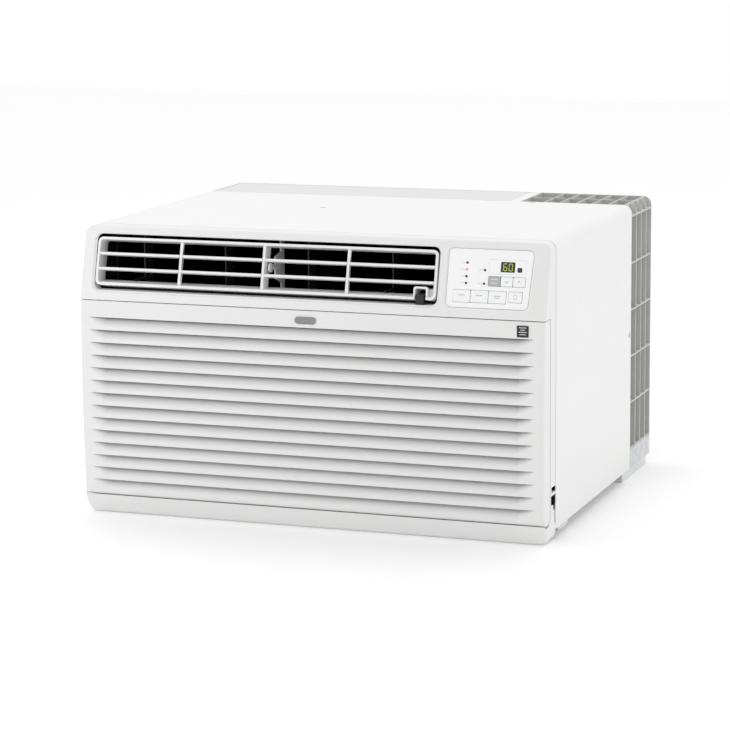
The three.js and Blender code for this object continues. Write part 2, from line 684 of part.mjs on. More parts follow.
function ventLever() {
  const half = VENT_KNOB_WIDTH / 2;
  const front = SEAM_Y - 40;
  const knob = box(VENT_X - half, VENT_X + half, front, front + 14, KNOB_Z0, KNOB_Z0 + VENT_KNOB_HEIGHT);
  const rod = box(VENT_X - 2, VENT_X + 2, front + 13, SEAM_Y + DUCT_REAR + 72, KNOB_Z0 + 2, KNOB_Z0 + 7);
  return join(knob, rod);
}

add("vent_lever", ventLever(), blackPlastic);

// ---------- Controls ----------

const climb = (z) => z / Math.cos(HEAD_LEAN); // height above the head's seam, along the face
const fromRight = (distance) => RIGHT - distance;
const DISPLAY = { x0: fromRight(60.5), x1: fromRight(42.7), y0: climb(55), y1: climb(67) };
const EYE = { x0: fromRight(39.7), x1: fromRight(33.6), y0: climb(55.3), y1: climb(60.8) };
const UPPER_ROW = { x0: fromRight(75), x1: fromRight(28.5), y0: climb(38.2), y1: climb(49.8) };
const LOWER_ROW = { x0: fromRight(118), x1: fromRight(51), y0: climb(18.2), y1: climb(33) };
const POWER = { x0: fromRight(48.2), x1: fromRight(31), y0: climb(20), y1: climb(32.9) };
const LAMPS = [0, 1, 2, 3].map((i) => [fromRight(102.6), climb(64.6) - i * LAMP_PITCH]);
LAMPS.push([fromRight(80), LAMPS[1][1]], [fromRight(80), LAMPS[3][1]]);

function inset(place, grow, z0, z1) {
  const shape = roundedRect(place.x0 - grow, place.x1 + grow, place.y0 - grow, place.y1 + grow, 1);
  return alongZ(shape, z0, z1, 1);
}

function controlPanel() {
  const front = -PANEL_RECESS;
  const back = front - PANEL_THICKNESS;
  const plate = alongZ(panelOutline(0), back, front);
  const flange = alongZ(panelOutline(4), back - 1.6, Math.min(back + 0.2, -CASING_WALL - FIT));
  const openings = [DISPLAY, EYE, UPPER_ROW, LOWER_ROW, POWER].map((p) => inset(p, 0, back - 3, 1));
  const lampHoles = LAMPS.map(([x, y]) => rodZ(LAMP_RADIUS + RUNNING, x, y, back - 3, 1, 8));
  return cut(join(plate, flange), openings, lampHoles);
}

add("control_panel", controlPanel(), glossPanel, head);

const GLASS_FRONT = -PANEL_RECESS - 0.3;
add("display_window", inset(DISPLAY, -RUNNING, GLASS_FRONT - 3.2, GLASS_FRONT), darkWindow, head);
add("remote_eye", inset(EYE, -RUNNING, GLASS_FRONT - 3.2, GLASS_FRONT), darkWindow, head);

// The indicator lamps are the ends of one light guide behind the panel.
const GUIDE_Z = -PANEL_RECESS - PANEL_THICKNESS - 2.2;

function lightGuide() {
  const lenses = LAMPS.map(([x, y]) => rodZ(LAMP_RADIUS, x, y, GUIDE_Z - 1, -PANEL_RECESS + 0.1, 8));
  const [x0, y1] = LAMPS[0];
  const [x1, y0] = LAMPS[5];
  return join(box(x0 - 3, x1 + 3, y0 - 3, y1 + 3, GUIDE_Z - 2, GUIDE_Z), lenses);
}

add("indicator_lamps", lightGuide(), lampPlastic, head);

// A key cap with its stem, in one place of a row.
function keyCap(place, from, to) {
  const span = place.x1 - place.x0;
  const gap = BUTTON_GAP / 2;
  const x0 = place.x0 + span * from + (from === 0 ? RUNNING : gap);
  const x1 = place.x0 + span * to - (to === 1 ? RUNNING : gap);
  const top = -PANEL_RECESS + BUTTON_PROUD;
  const shape = roundedRect(x0, x1, place.y0 + RUNNING, place.y1 - RUNNING, 1);
  const cap = alongZ(shape, top - BUTTON_DEPTH, top, 1);
  const stem = rodZ(1.5, (x0 + x1) / 2, (place.y0 + place.y1) / 2, top - BUTTON_DEPTH - 3, top - 1, 8);
  return join(cap, stem);
}

const KEYS = [
  ["button_energy_saver", UPPER_ROW, 0, 0.335, greyButton],
  ["button_temp_down", UPPER_ROW, 0.335, 0.665, buttonPlastic],
  ["button_temp_up", UPPER_ROW, 0.665, 1, buttonPlastic],
  ["button_mode", LOWER_ROW, 0, 0.33, buttonPlastic],
  ["button_timer", LOWER_ROW, 0.33, 0.665, buttonPlastic],
  ["button_fan_speed", LOWER_ROW, 0.665, 1, buttonPlastic],
  ["button_power", POWER, 0, 1, buttonPlastic],
];
for (const [name, place, from, to, material] of KEYS) add(name, keyCap(place, from, to), material, head);

const BOARD_Z = -PANEL_RECESS + BUTTON_PROUD - BUTTON_DEPTH - 3 - 1.4;

function controlBoard() {
  const board = box(PANEL_X0 + 4, PANEL_X1 - 8, PANEL_BOTTOM + 3, PANEL_BOTTOM + 68, BOARD_Z - 1.6, BOARD_Z);
  const chip = box(PANEL_X0 + 30, PANEL_X0 + 44, 40, 54, BOARD_Z - 4, BOARD_Z - 1);
  const plug = box(PANEL_X0 + 60, PANEL_X0 + 84, 30, 38, BOARD_Z - 8, BOARD_Z - 1);
  return join(board, chip, plug);
}

add("control_board", controlBoard(), boardGreen, head);

// ---------- Cabinet and base ----------

function archOutline(inset) {
  const shape = new THREE.Shape();
  const r = TOP_RADIUS - inset;
  const foot = PAN_HEIGHT - (inset > 0 ? 1 : 0);
  shape.moveTo(RIGHT - inset, foot);
  shape.lineTo(RIGHT - inset, HEIGHT - TOP_RADIUS);
  shape.absarc(RIGHT - TOP_RADIUS, HEIGHT - TOP_RADIUS, r, 0, Math.PI / 2);
  shape.absarc(LEFT + TOP_RADIUS, HEIGHT - TOP_RADIUS, r, Math.PI / 2, Math.PI);
  shape.lineTo(LEFT + inset, foot);
  return shape;
}

const SCREW_HEAD = 4;
const TOP_SCREWS = [
  [fromRight(383.5), SEAM_Y + 225],
  [fromRight(134.5), CAGE_Y - 8],
];
const SIDE_SCREW = { y: CAGE_Y - 8, z: 195 };

function cabinet() {
  const sheet = alongY(archOutline(0), SEAM_Y + FIT, CAGE_Y - FIT);
  const inside = alongY(archOutline(SHEET), SEAM_Y, CAGE_Y);
  const hole = SCREW_HEAD + RUNNING;
  const topHoles = TOP_SCREWS.map(([x, y]) => rodZ(hole, x, y, HEIGHT - 3, HEIGHT + 1));
  const sideHoles = rodX(hole, LEFT - 1, RIGHT + 1, SIDE_SCREW.y, SIDE_SCREW.z);
  return cut(sheet, inside, topHoles, sideHoles);
}

add("cabinet", cabinet(), whitePaint);

TOP_SCREWS.forEach(([x, y], i) => {
  const cap = rodZ(SCREW_HEAD, x, y, HEIGHT - 2, HEIGHT - 0.2);
  add(`top_screw_${i + 1}`, join(cap, rodZ(2, x, y, HEIGHT - 9, HEIGHT - 1)), zinc);
});

function sideScrew(side) {
  const { y, z } = SIDE_SCREW;
  const outer = side * (RIGHT - 0.2);
  const under = side * (RIGHT - 2);
  const tip = side * (RIGHT - 9);
  const ends = (a, b) => [Math.min(a, b), Math.max(a, b)];
  return join(rodX(SCREW_HEAD, ...ends(outer, under), y, z), rodX(2, ...ends(outer - side, tip), y, z));
}

for (const [label, side] of [["left", -1], ["right", 1]]) {
  add(`side_screw_${label}`, sideScrew(side), zinc);
}

const DRAIN = { x: LEFT + 95, y: CAGE_Y + 70 };
const PAN_X = RIGHT - SHEET - FIT;
const FLANGE_Z = 34;

// The base pan: a pressed tray with side flanges and two pairs of feet.
function basePan() {
  const rear = REAR_Y - SHEET - FIT;
  const floor = box(-PAN_X, PAN_X, SEAM_Y + 2, rear, PAN_HEIGHT, FLOOR_Z);
  const flanges = [-PAN_X, PAN_X - SHEET].map((x) =>
    box(x, x + SHEET, SEAM_Y + 2, CAGE_Y - 1, PAN_HEIGHT, FLANGE_Z),
  );
  const front = box(-PAN_X, PAN_X, SEAM_Y + 2, SEAM_Y + 2 + SHEET, PAN_HEIGHT, FLOOR_Z + 6);
  const foot = (x0, x1, y0, y1, z0) => box(x0, x1, y0, y1, z0, PAN_HEIGHT + 0.5);
  const feet = [
    foot(-PAN_X, 55 - PAN_X, CAGE_Y - 33, CAGE_Y + 92, 0),
    foot(PAN_X - 55, PAN_X, CAGE_Y - 33, CAGE_Y + 92, 0),
    foot(-PAN_X, 55 - PAN_X, SEAM_Y + 20, SEAM_Y + 62, 6.5),
    foot(PAN_X - 55, PAN_X, SEAM_Y + 20, SEAM_Y + 62, 6.5),
  ];
  const drain = rodZ(6 + RUNNING, DRAIN.x, DRAIN.y, PAN_HEIGHT - 1, FLOOR_Z + 1, 12);
  return cut(join(floor, flanges, front, feet), drain);
}

add("base_pan", basePan(), galvanised);

function drainPlug() {
  const flange = rodZ(9, DRAIN.x, DRAIN.y, PAN_HEIGHT - 3 - RUNNING, PAN_HEIGHT - RUNNING, 12);
  return join(flange, rodZ(6, DRAIN.x, DRAIN.y, PAN_HEIGHT - 1, FLOOR_Z + 3, 12));
}

add("drain_plug", drainPlug(), rubber);

// The bright rail round the back of the pan, under the cage.
function rearRail() {
  const outer = box(LEFT, RIGHT, CAGE_Y + 2, REAR_Y, PAN_HEIGHT, CAGE_FOOT - FIT);
  const inner = box(LEFT + SHEET, RIGHT - SHEET, CAGE_Y, REAR_Y - SHEET, PAN_HEIGHT - 1, CAGE_FOOT + 1);
  return cut(outer, inner);
}

add("rear_rail", rearRail(), galvanised);

// ---------- Rear cage ----------

// The cells between evenly spaced ribs, as [low, high] pairs.
function cells(from, to, count) {
  const pitch = (to - from) / count;
  return Array.from({ length: count }, (_, i) => [from + i * pitch + RIB / 2, from + (i + 1) * pitch - RIB / 2]);
}

const CAGE_FRONT = CAGE_Y + FIT;
const SIDE_CELLS = cells(CAGE_FRONT - RIB / 2 + 0.8, REAR_Y - RIB / 2, SIDE_COLUMNS);
const ROW_CELLS = cells(CAGE_FOOT + RIB / 2, HEIGHT - 15, CAGE_ROWS);
const BACK_CELLS = cells(LEFT + 11, RIGHT - 11, BACK_COLUMNS);
const TOP_CELLS = cells(BRACE_X1 + 10.5, RIGHT - 10.5, TOP_COLUMNS);
const TOP_ROWS = cells(CAGE_FRONT + RIB / 2, REAR_Y - RIB / 2 - 2, 2);

function rearCage() {
  const silhouette = roundedRect(LEFT, RIGHT, CAGE_FOOT - 40, HEIGHT, TOP_RADIUS);
  const block = cut(
    alongY(silhouette, CAGE_FRONT, REAR_Y),
    box(LEFT - 1, RIGHT + 1, CAGE_FRONT - 1, REAR_Y + 1, CAGE_FOOT - 50, CAGE_FOOT),
    box(LEFT + RIB_DEPTH, RIGHT - RIB_DEPTH, CAGE_FRONT - 1, REAR_Y - RIB_DEPTH, -1, HEIGHT - RIB_DEPTH),
    box(LEFT + RIB_DEPTH, BRACE_X1 - 2, CAGE_FRONT - 1, REAR_Y - RIB_DEPTH, HEIGHT / 2, HEIGHT - 5.5),
    box(LEFT + TOP_RADIUS, BRACE_X1, CAGE_FRONT - 1, REAR_Y - 1.5, HEIGHT - 2.1, HEIGHT + 1),
  );
  const holes = [];
  for (const [z0, z1] of ROW_CELLS) {
    for (const [y0, y1] of SIDE_CELLS) {
      holes.push(box(LEFT - 1, LEFT + RIB_DEPTH + 1, y0, y1, z0, z1));
      holes.push(box(RIGHT - RIB_DEPTH - 1, RIGHT + 1, y0, y1, z0, z1));
    }
    for (const [x0, x1] of BACK_CELLS) holes.push(box(x0, x1, REAR_Y - RIB_DEPTH - 1, REAR_Y + 1, z0, z1));
  }
  for (const [y0, y1] of TOP_ROWS) {
    for (const [x0, x1] of TOP_CELLS) {
      const low = x0 === TOP_CELLS[0][0] ? BRACE_X1 + 1.5 : x0;
      holes.push(box(low, x1, y0, y1, HEIGHT - RIB_DEPTH - 1, HEIGHT + 1));
    }
  }
  for (const [y0, y1] of SIDE_CELLS) {
    holes.push(box(RIGHT - 9.5, RIGHT + 1, y0, y1, HEIGHT - 14, HEIGHT + 1));
  }
  return cut(block, ...holes);
}

add("rear_cage", rearCage(), cagePlastic);

const PLATE_Y0 = CAGE_FRONT + FIT;
const PLATE_Y1 = REAR_Y - 1.5 - FIT;
add(
  "rear_top_plate",
  box(LEFT + TOP_RADIUS + FIT, BRACE_X0 - FIT / 2, PLATE_Y0, PLATE_Y1, HEIGHT - 2.1 + RUNNING, HEIGHT - 0.2),
  platePlastic,
);
add(
  "top_brace",
  box(BRACE_X0 + FIT / 2, BRACE_X1 - FIT, PLATE_Y0, PLATE_Y1, HEIGHT - 2.1 + RUNNING, HEIGHT - 0.1),
  whitePaint,
);

// ---------- Cold side: coil, drip tray and blower ----------

const RETURN_BENDS = 4;

// A fin block with end plates and return bends, seen as one brazed piece.
function coil(x0, x1, y0, y1, z0, z1) {
  const block = box(x0, x1, y0, y1, z0, z1);
  const plates = [x0 - 1.5, x1].map((x) => box(x, x + 1.5, y0 - 1, y1 + 1, z0 - 0.5, z1 + 0.5));
  const pitch = (z1 - z0) / RETURN_BENDS;
  const bends = Array.from({ length: RETURN_BENDS }, (_, i) => {
    const z = z0 + pitch * (i + 0.5);
    const y = (y0 + y1) / 2;
    const half = pitch * 0.28;
    const bend = [
      [x1 + 1, y, z - half],
      [x1 + 6, y, z - half],
      [x1 + 12, y, z],
      [x1 + 6, y, z + half],
      [x1 + 1, y, z + half],
    ];
    return tube(bend, TUBE_RADIUS - 0.5, 6, 6);
  });
  return join(block, plates, bends);
}

const EVAPORATOR_Y = SEAM_Y - 14;
const EVAPORATOR_X1 = DUCT_X1 - 14;
const TRAY_Z = STRIP_HEIGHT;
add(
  "evaporator_coil",
  coil(LEFT + 22, EVAPORATOR_X1, EVAPORATOR_Y, EVAPORATOR_Y + COIL_DEPTH, TRAY_Z + 11, DUCT_Z0 - 14),
  finMetal,
);

function dripTray() {
  const x0 = LEFT + 16;
  const x1 = EVAPORATOR_X1 + 20;
  const y0 = EVAPORATOR_Y - 4;
  const y1 = EVAPORATOR_Y + COIL_DEPTH + 3;
  return cut(
    box(x0, x1, y0, y1, TRAY_Z, TRAY_Z + 10),
    box(x0 + 2, x1 - 2, y0 + 2, y1 - 2, TRAY_Z + 2, TRAY_Z + 11),
  );
}

add("drip_tray", dripTray(), blackPlastic);

const BLOWER_Z0 = FLOOR_Z + 24;
const BLOWER_X0 = DUCT_X0 - DUCT_WALL;
const BLOWER_X1 = DUCT_X1 + DUCT_WALL;
const BLOWER_Z1 = DUCT_Z1 + DUCT_WALL;
const VENT_HOLE = { x0: VENT_X - 25, x1: VENT_X + 15, z0: OUTLET_Z0 + 12, z1: OUTLET_Z0 + 57 };

// The blower housing: a box open to the duct at the top, with a scroll wall round the wheel.
function blowerHousing() {
  const wall = BLOWER_WALL;
  const y0 = BLOWER_Y;
  const y1 = BLOWER_Y + BLOWER_DEPTH;
  const shell = cut(
    box(BLOWER_X0, BLOWER_X1, y0, y1, BLOWER_Z0, BLOWER_Z1),
    box(BLOWER_X0 + wall, BLOWER_X1 - wall, y0 + wall, y1 - wall, BLOWER_Z0 + wall, BLOWER_Z1 - wall),
    box(DUCT_X0 + 2, DUCT_X1 - 2, y0 - 1, y0 + wall + 1, DUCT_Z0, DUCT_Z1 - 2),
    rodY(BLOWER_RADIUS - 12, AXIS_X, y0 - 1, y0 + wall + 1, AXIS_Z, 24),
    rodY(SHAFT_RADIUS + 5, AXIS_X, y1 - wall - 1, y1 + 1, AXIS_Z),
    box(VENT_HOLE.x0, VENT_HOLE.x1, y1 - wall - 1, y1 + 1, VENT_HOLE.z0, VENT_HOLE.z1),
  );
  const turn = (share) => -0.25 * Math.PI - share * 1.45 * Math.PI;
  const spiral = (share, extra) => {
    const radius = BLOWER_RADIUS + 7 + 22 * share + extra;
    return [AXIS_X + radius * Math.cos(turn(share)), AXIS_Z + radius * Math.sin(turn(share))];
  };
  const steps = Array.from({ length: 19 }, (_, i) => i / 18);
  const inner = steps.map((share) => spiral(share, 0));
  const outer = steps.map((share) => spiral(share, 3)).reverse();
  const scroll = alongY(outline([...inner, ...outer]), y0 + wall - 1, y1 - wall + 1);
  return join(shell, scroll);
}

add("blower_housing", blowerHousing(), foam);

const WHEEL_Y0 = BLOWER_Y + BLOWER_WALL + 4;
const WHEEL_Y1 = BLOWER_Y + BLOWER_DEPTH - BLOWER_WALL - 4;

function blowerWheel() {
  const back = rodY(BLOWER_RADIUS, AXIS_X, WHEEL_Y1 - 2, WHEEL_Y1, AXIS_Z, 24);
  const rim = cut(
    rodY(BLOWER_RADIUS, AXIS_X, WHEEL_Y0, WHEEL_Y0 + 3, AXIS_Z, 24),
    rodY(BLOWER_RADIUS - 16, AXIS_X, WHEEL_Y0 - 1, WHEEL_Y0 + 4, AXIS_Z, 24),
  );
  const hub = rodY(SHAFT_RADIUS + 7, AXIS_X, WHEEL_Y1 - 26, WHEEL_Y1 - 1, AXIS_Z, 12);
  const blades = Array.from({ length: BLOWER_BLADES }, (_, i) => {
    const blade = new THREE.BoxGeometry(14, WHEEL_Y1 - WHEEL_Y0 - 2, 1.6);
    blade.rotateY(0.6).translate(BLOWER_RADIUS - 9, (WHEEL_Y0 + WHEEL_Y1) / 2, 0);
    return solid(blade.rotateY((i * 2 * Math.PI) / BLOWER_BLADES).translate(AXIS_X, 0, AXIS_Z));
  });
  const bore = rodY(SHAFT_RADIUS + RUNNING, AXIS_X, WHEEL_Y1 - 30, WHEEL_Y1 + 1, AXIS_Z, 12);
  return cut(join(back, rim, hub, blades), bore);
}

add("blower_wheel", blowerWheel(), blackPlastic);

// The steel wall between the cold side and the hot side.
const LINE_GAP = { x0: BLOWER_X1 + 16, x1: BLOWER_X1 + 62, z0: FLOOR_Z + 40, z1: FLOOR_Z + 110 };

function bulkhead() {
  const inner = RIGHT - SHEET - FIT - SHEET - FIT;
  return cut(
    box(-inner, inner, BULKHEAD_Y, BULKHEAD_Y + SHEET, FLOOR_Z + FIT, HEIGHT - 13),
    rodY(SHAFT_RADIUS + 5, AXIS_X, BULKHEAD_Y - 1, BULKHEAD_Y + 3, AXIS_Z),
    box(VENT_HOLE.x0, VENT_HOLE.x1, BULKHEAD_Y - 1, BULKHEAD_Y + 3, VENT_HOLE.z0, VENT_HOLE.z1),
    box(LINE_GAP.x0, LINE_GAP.x1, BULKHEAD_Y - 1, BULKHEAD_Y + 3, LINE_GAP.z0, LINE_GAP.z1),
  );
}

add("bulkhead", bulkhead(), galvanised);

// The vent flap hangs from its top edge on the hot side of the bulkhead.
const FLAP_Y = BULKHEAD_Y + SHEET + FIT;
const FLAP_PIVOT_Z = VENT_HOLE.z1 + 6;

function ventFlap() {
  const { x0, x1, z0 } = VENT_HOLE;
  const flap = box(x0 - 3, x1 + 3, FLAP_Y, FLAP_Y + 1.6, z0 - 3, FLAP_PIVOT_Z);
  return join(flap, rodX(1.8, x0 - 3, x1 + 3, FLAP_Y + 1.8, FLAP_PIVOT_Z, 8));
}

add("vent_flap", ventFlap(), blackPlastic);

// ---------- Air movers ----------

const MOTOR_Y0 = BULKHEAD_Y + 12;
const MOTOR_Y1 = MOTOR_Y0 + MOTOR_LENGTH;
const FAN_Y0 = SHROUD_Y - FAN_DEPTH - 6;

function fanMotor() {
  const can = rodY(MOTOR_RADIUS, AXIS_X, MOTOR_Y0 + 4, MOTOR_Y1 - 4, AXIS_Z, 24);
  const ends = [
    rodY(MOTOR_RADIUS - 12, AXIS_X, MOTOR_Y0, MOTOR_Y0 + 5, AXIS_Z, 24),
    rodY(MOTOR_RADIUS - 12, AXIS_X, MOTOR_Y1 - 5, MOTOR_Y1, AXIS_Z, 24),
  ];
  const bore = rodY(SHAFT_RADIUS + RUNNING, AXIS_X, MOTOR_Y0 - 1, MOTOR_Y1 + 1, AXIS_Z, 12);
  return cut(join(can, ends), bore);
}

add("fan_motor", fanMotor(), motorSteel);
add("fan_shaft", rodY(SHAFT_RADIUS, AXIS_X, WHEEL_Y1 - 24, SHROUD_Y - 2, AXIS_Z, 12), zinc);

function motorBracket() {
  const stand = box(
    AXIS_X - 46,
    AXIS_X + 46,
    MOTOR_Y0 + 18,
    MOTOR_Y1 - 18,
    FLOOR_Z + FIT,
    AXIS_Z - MOTOR_RADIUS + 18,
  );
  const arch = box(AXIS_X - 40, AXIS_X + 40, MOTOR_Y0, MOTOR_Y1, FLOOR_Z + 8, AXIS_Z - MOTOR_RADIUS - 8);
  const saddle = rodY(MOTOR_RADIUS + FIT, AXIS_X, MOTOR_Y0, MOTOR_Y1, AXIS_Z, 24);
  return cut(stand, arch, saddle);
}

add("motor_bracket", motorBracket(), galvanised);

// The condenser fan, with a slinger ring that picks up water from the pan.
function condenserFan() {
  const middle = FAN_Y0 + FAN_DEPTH / 2;
  const ring = cut(
    rodY(FAN_RADIUS, AXIS_X, middle - 4, middle + 4, AXIS_Z, 28),
    rodY(FAN_RADIUS - 3, AXIS_X, middle - 5, middle + 5, AXIS_Z, 28),
  );
  const hub = rodY(26, AXIS_X, FAN_Y0, FAN_Y0 + FAN_DEPTH, AXIS_Z, 18);
  const reachOut = FAN_RADIUS - 2 - 20;
  const blades = Array.from({ length: FAN_BLADES }, (_, i) => {
    const paddle = outline([
      [0, -17],
      [reachOut * 0.6, -32],
      [reachOut, -34],
      [reachOut, 26],
      [reachOut * 0.5, 22],
      [0, 15],
    ]);
    const blade = extrusion(paddle, 2).translate(20, 0, -1).rotateX(0.42);
    blade.rotateX(Math.PI / 2).rotateY((i * 2 * Math.PI) / FAN_BLADES);
    return solid(blade.translate(AXIS_X, middle, AXIS_Z));
  });
  const limit = rodY(FAN_RADIUS, AXIS_X, FAN_Y0 - 10, FAN_Y0 + FAN_DEPTH + 10, AXIS_Z, 28);
  const bore = rodY(SHAFT_RADIUS + RUNNING, AXIS_X, FAN_Y0 - 1, FAN_Y0 + FAN_DEPTH + 1, AXIS_Z, 12);
  return cut(join(ring, hub, join(blades).intersect(limit)), bore);
}

add("condenser_fan", condenserFan(), fanPlastic);

// The shroud: a plate with a collar round the fan, and a duct back to the condenser.
const SHROUD_X0 = LEFT + 14;
const SHROUD_TOP = HEIGHT - 15;

function fanShroud() {
  const hole = FAN_RADIUS + 5;
  const plate = box(SHROUD_X0, SHROUD_X1, SHROUD_Y, SHROUD_Y + SHEET, FLOOR_Z + FIT, SHROUD_TOP);
  const collar = rodY(hole + SHEET, AXIS_X, SHROUD_Y - 12, SHROUD_Y + 1, AXIS_Z, 28);
  const rear = CONDENSER_Y - 2;
  const duct = [
    box(SHROUD_X0, SHROUD_X1, SHROUD_Y, rear, SHROUD_TOP - SHEET, SHROUD_TOP),
    box(SHROUD_X1 - SHEET, SHROUD_X1, SHROUD_Y, rear, FLOOR_Z + FIT, SHROUD_TOP),
    box(SHROUD_X0, SHROUD_X0 + SHEET, SHROUD_Y, rear, FLOOR_Z + FIT, SHROUD_TOP),
  ];
  const bore = rodY(hole, AXIS_X, SHROUD_Y - 13, SHROUD_Y + SHEET + 1, AXIS_Z, 28);
  return cut(join(plate, collar, duct), bore);
}

add("fan_shroud", fanShroud(), galvanised);

// ---------- Refrigeration circuit ----------

add(
  "condenser_coil",
  coil(
    SHROUD_X0 + 3,
    SHROUD_X1 - 6,
    CONDENSER_Y,
    CONDENSER_Y + CONDENSER_DEPTH,
    FLOOR_Z + 4,
    SHROUD_TOP - 4,
  ),
  finMetal,
);

const COMPRESSOR = { x: RIGHT - 73, y: SHROUD_Y - 65, z: FLOOR_Z + 16 };

function compressor() {
  const r = COMPRESSOR_RADIUS;
  const h = COMPRESSOR_HEIGHT;
  const { x, y, z } = COMPRESSOR;
  const profile = [
    [0, z],
    [r - 12, z],
    [r, z + 12],
    [r, z + h - 26],
    [r - 8, z + h - 10],
    [r - 26, z + h],
    [0, z + h],
  ];
  const stub = rodZ(TUBE_RADIUS + 1.5, x, y, z + h - 2, z + h + 10, 8);
  const terminals = box(x - r - 8, x - r + 20, y - 16, y + 16, z + h - 80, z + h - 48);
  return join(turned(profile, x, y), stub, terminals);
}

add("compressor", compressor(), compressorPaint);

// A plate with three feet that stand on rubber grommets.
function compressorMount() {
  const { x, y, z } = COMPRESSOR;
  const plate = alongZ(roundedRect(x - 60, x + 60, y - 50, y + 50, 10), z - 4, z - RUNNING);
  const grommets = [
    [x - 48, y - 38],
    [x + 48, y - 38],
    [x, y + 38],
  ].map(([gx, gy]) => rodZ(9, gx, gy, FLOOR_Z + RUNNING, z - 3));
  return join(plate, grommets);
}

add("compressor_mount", compressorMount(), rubber);

const ACCUMULATOR = { x: COMPRESSOR.x - 36, y: COMPRESSOR.y - 82, z0: FLOOR_Z + 70, z1: FLOOR_Z + 200 };

function accumulator() {
  const { x, y, z0, z1 } = ACCUMULATOR;
  const profile = [
    [0, z0],
    [10, z0],
    [19, z0 + 12],
    [19, z1 - 12],
    [10, z1],
    [0, z1],
  ];
  return turned(profile, x, y, 14);
}

add("accumulator", accumulator(), compressorPaint);

const LINE_X = LINE_GAP.x0 + 34;
const LINE_Z = LINE_GAP.z0 + 45;
const RISER_X = ACCUMULATOR.x + 32;

// Cold gas from the evaporator, back through the bulkhead and up into the accumulator.
add(
  "suction_line",
  tube(
    [
      [EVAPORATOR_X1 + 18, SEAM_Y + 14, TRAY_Z + 40],
      [LINE_X - 4, SEAM_Y + 18, TRAY_Z + 42],
      [LINE_X, SEAM_Y + 50, LINE_Z - 20],
      [LINE_X, BULKHEAD_Y, LINE_Z],
      [RISER_X, ACCUMULATOR.y - 14, LINE_Z + 14],
      [RISER_X, ACCUMULATOR.y, LINE_Z + 50],
      [RISER_X, ACCUMULATOR.y, ACCUMULATOR.z1 + 14],
      [(RISER_X + ACCUMULATOR.x) / 2, ACCUMULATOR.y, ACCUMULATOR.z1 + 30],
      [ACCUMULATOR.x, ACCUMULATOR.y, ACCUMULATOR.z1 + 14],
      [ACCUMULATOR.x, ACCUMULATOR.y, ACCUMULATOR.z1 + RUNNING],
    ],
    TUBE_RADIUS,
    34,
  ),
  copper,
);

// Hot gas from the top of the compressor to the condenser.
const STUB_TOP = COMPRESSOR.z + COMPRESSOR_HEIGHT + 10 + RUNNING;
add(
  "discharge_line",
  tube(
    [
      [COMPRESSOR.x, COMPRESSOR.y, STUB_TOP],
      [COMPRESSOR.x, COMPRESSOR.y, STUB_TOP + 9],
      [COMPRESSOR.x - 1, COMPRESSOR.y + 5, STUB_TOP + 22],
      [COMPRESSOR.x - 12, COMPRESSOR.y + 40, STUB_TOP + 34],
      [SHROUD_X1 + 30, SHROUD_Y + 20, STUB_TOP + 30],
      [SHROUD_X1 + 20, CONDENSER_Y + 8, STUB_TOP + 20],
      [SHROUD_X1 + 14, CONDENSER_Y + 20, STUB_TOP + 18],
    ],
    TUBE_RADIUS - 0.5,
    24,
  ),
  copper,
);

// The thin tube that meters liquid from the condenser to the evaporator.
add(
  "capillary_tube",
  tube(
    [
      [SHROUD_X1 + 12, CONDENSER_Y + 20, FLOOR_Z + 30],
      [SHROUD_X1 + 22, CONDENSER_Y - 30, FLOOR_Z + 16],
      [SHROUD_X1 + 8, SHROUD_Y - 60, FLOOR_Z + 20],
      [LINE_GAP.x0 + 4, BULKHEAD_Y + 50, LINE_GAP.z0 + 12],
      [LINE_GAP.x0 + 5, BULKHEAD_Y, LINE_GAP.z0 + 12],
      [LINE_GAP.x0 + 5, SEAM_Y + 60, LINE_GAP.z0 + 26],
      [EVAPORATOR_X1 + 20, SEAM_Y + 4, LINE_GAP.z0 + 60],
    ],
    2,
    26,
    4,
  ),
  copper,
);

// ---------- Electrics ----------

const BOX_X0 = BLOWER_X1 + 8;
const BOX_X1 = RIGHT - SHEET - 6;
const BOX_Z0 = HEIGHT - 170;

function controlBox() {
  const y0 = SEAM_Y + 6;
  const y1 = BULKHEAD_Y - 14;
  const shell = cut(
    box(BOX_X0, BOX_X1, y0, y1, BOX_Z0, HEIGHT - 14),
    box(BOX_X0 + SHEET, BOX_X1 - SHEET, y0 - 1, y1 - SHEET, BOX_Z0 + SHEET, HEIGHT - 14 - SHEET),
  );
  const shelf = box(BOX_X0 + 1, BOX_X1 - 1, y1 - 40, y1 - 1, BOX_Z0 + 70, BOX_Z0 + 70 + SHEET);
  return join(shell, shelf);
}

add("control_box", controlBox(), galvanised);

const CAPACITOR = { x: BOX_X0 + 34, y: SEAM_Y + 60, z0: BOX_Z0 + SHEET + FIT };

function capacitor() {
  const { x, y, z0 } = CAPACITOR;
  const can = alongZ(roundedRect(x - 24, x + 24, y - 16, y + 16, 15), z0, z0 + 52, 4);
  const blades = [x - 10, x + 4].map((x0) => box(x0, x0 + 6, y - 1, y + 1, z0 + 50, z0 + 60));
  return join(can, blades);
}

add("run_capacitor", capacitor(), capacitorSkin);

// The cord clamp inside the notch in the casing's side, on the pan's front corner.
function cordClamp() {
  const x1 = PAN_X - SHEET - FIT;
  const block = box(x1 - 26, x1, SEAM_Y + 8, SEAM_Y + 26, FLOOR_Z + FIT, FLOOR_Z + 52);
  return cut(block, rodX(4.2, x1 - 27, x1 + 1, SEAM_Y + 17, FLOOR_Z + 38, 12));
}

add("cord_clamp", cordClamp(), blackPlastic);

export default unit;
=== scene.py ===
import math

import bmesh
import bpy
from mathutils import Matrix, Vector


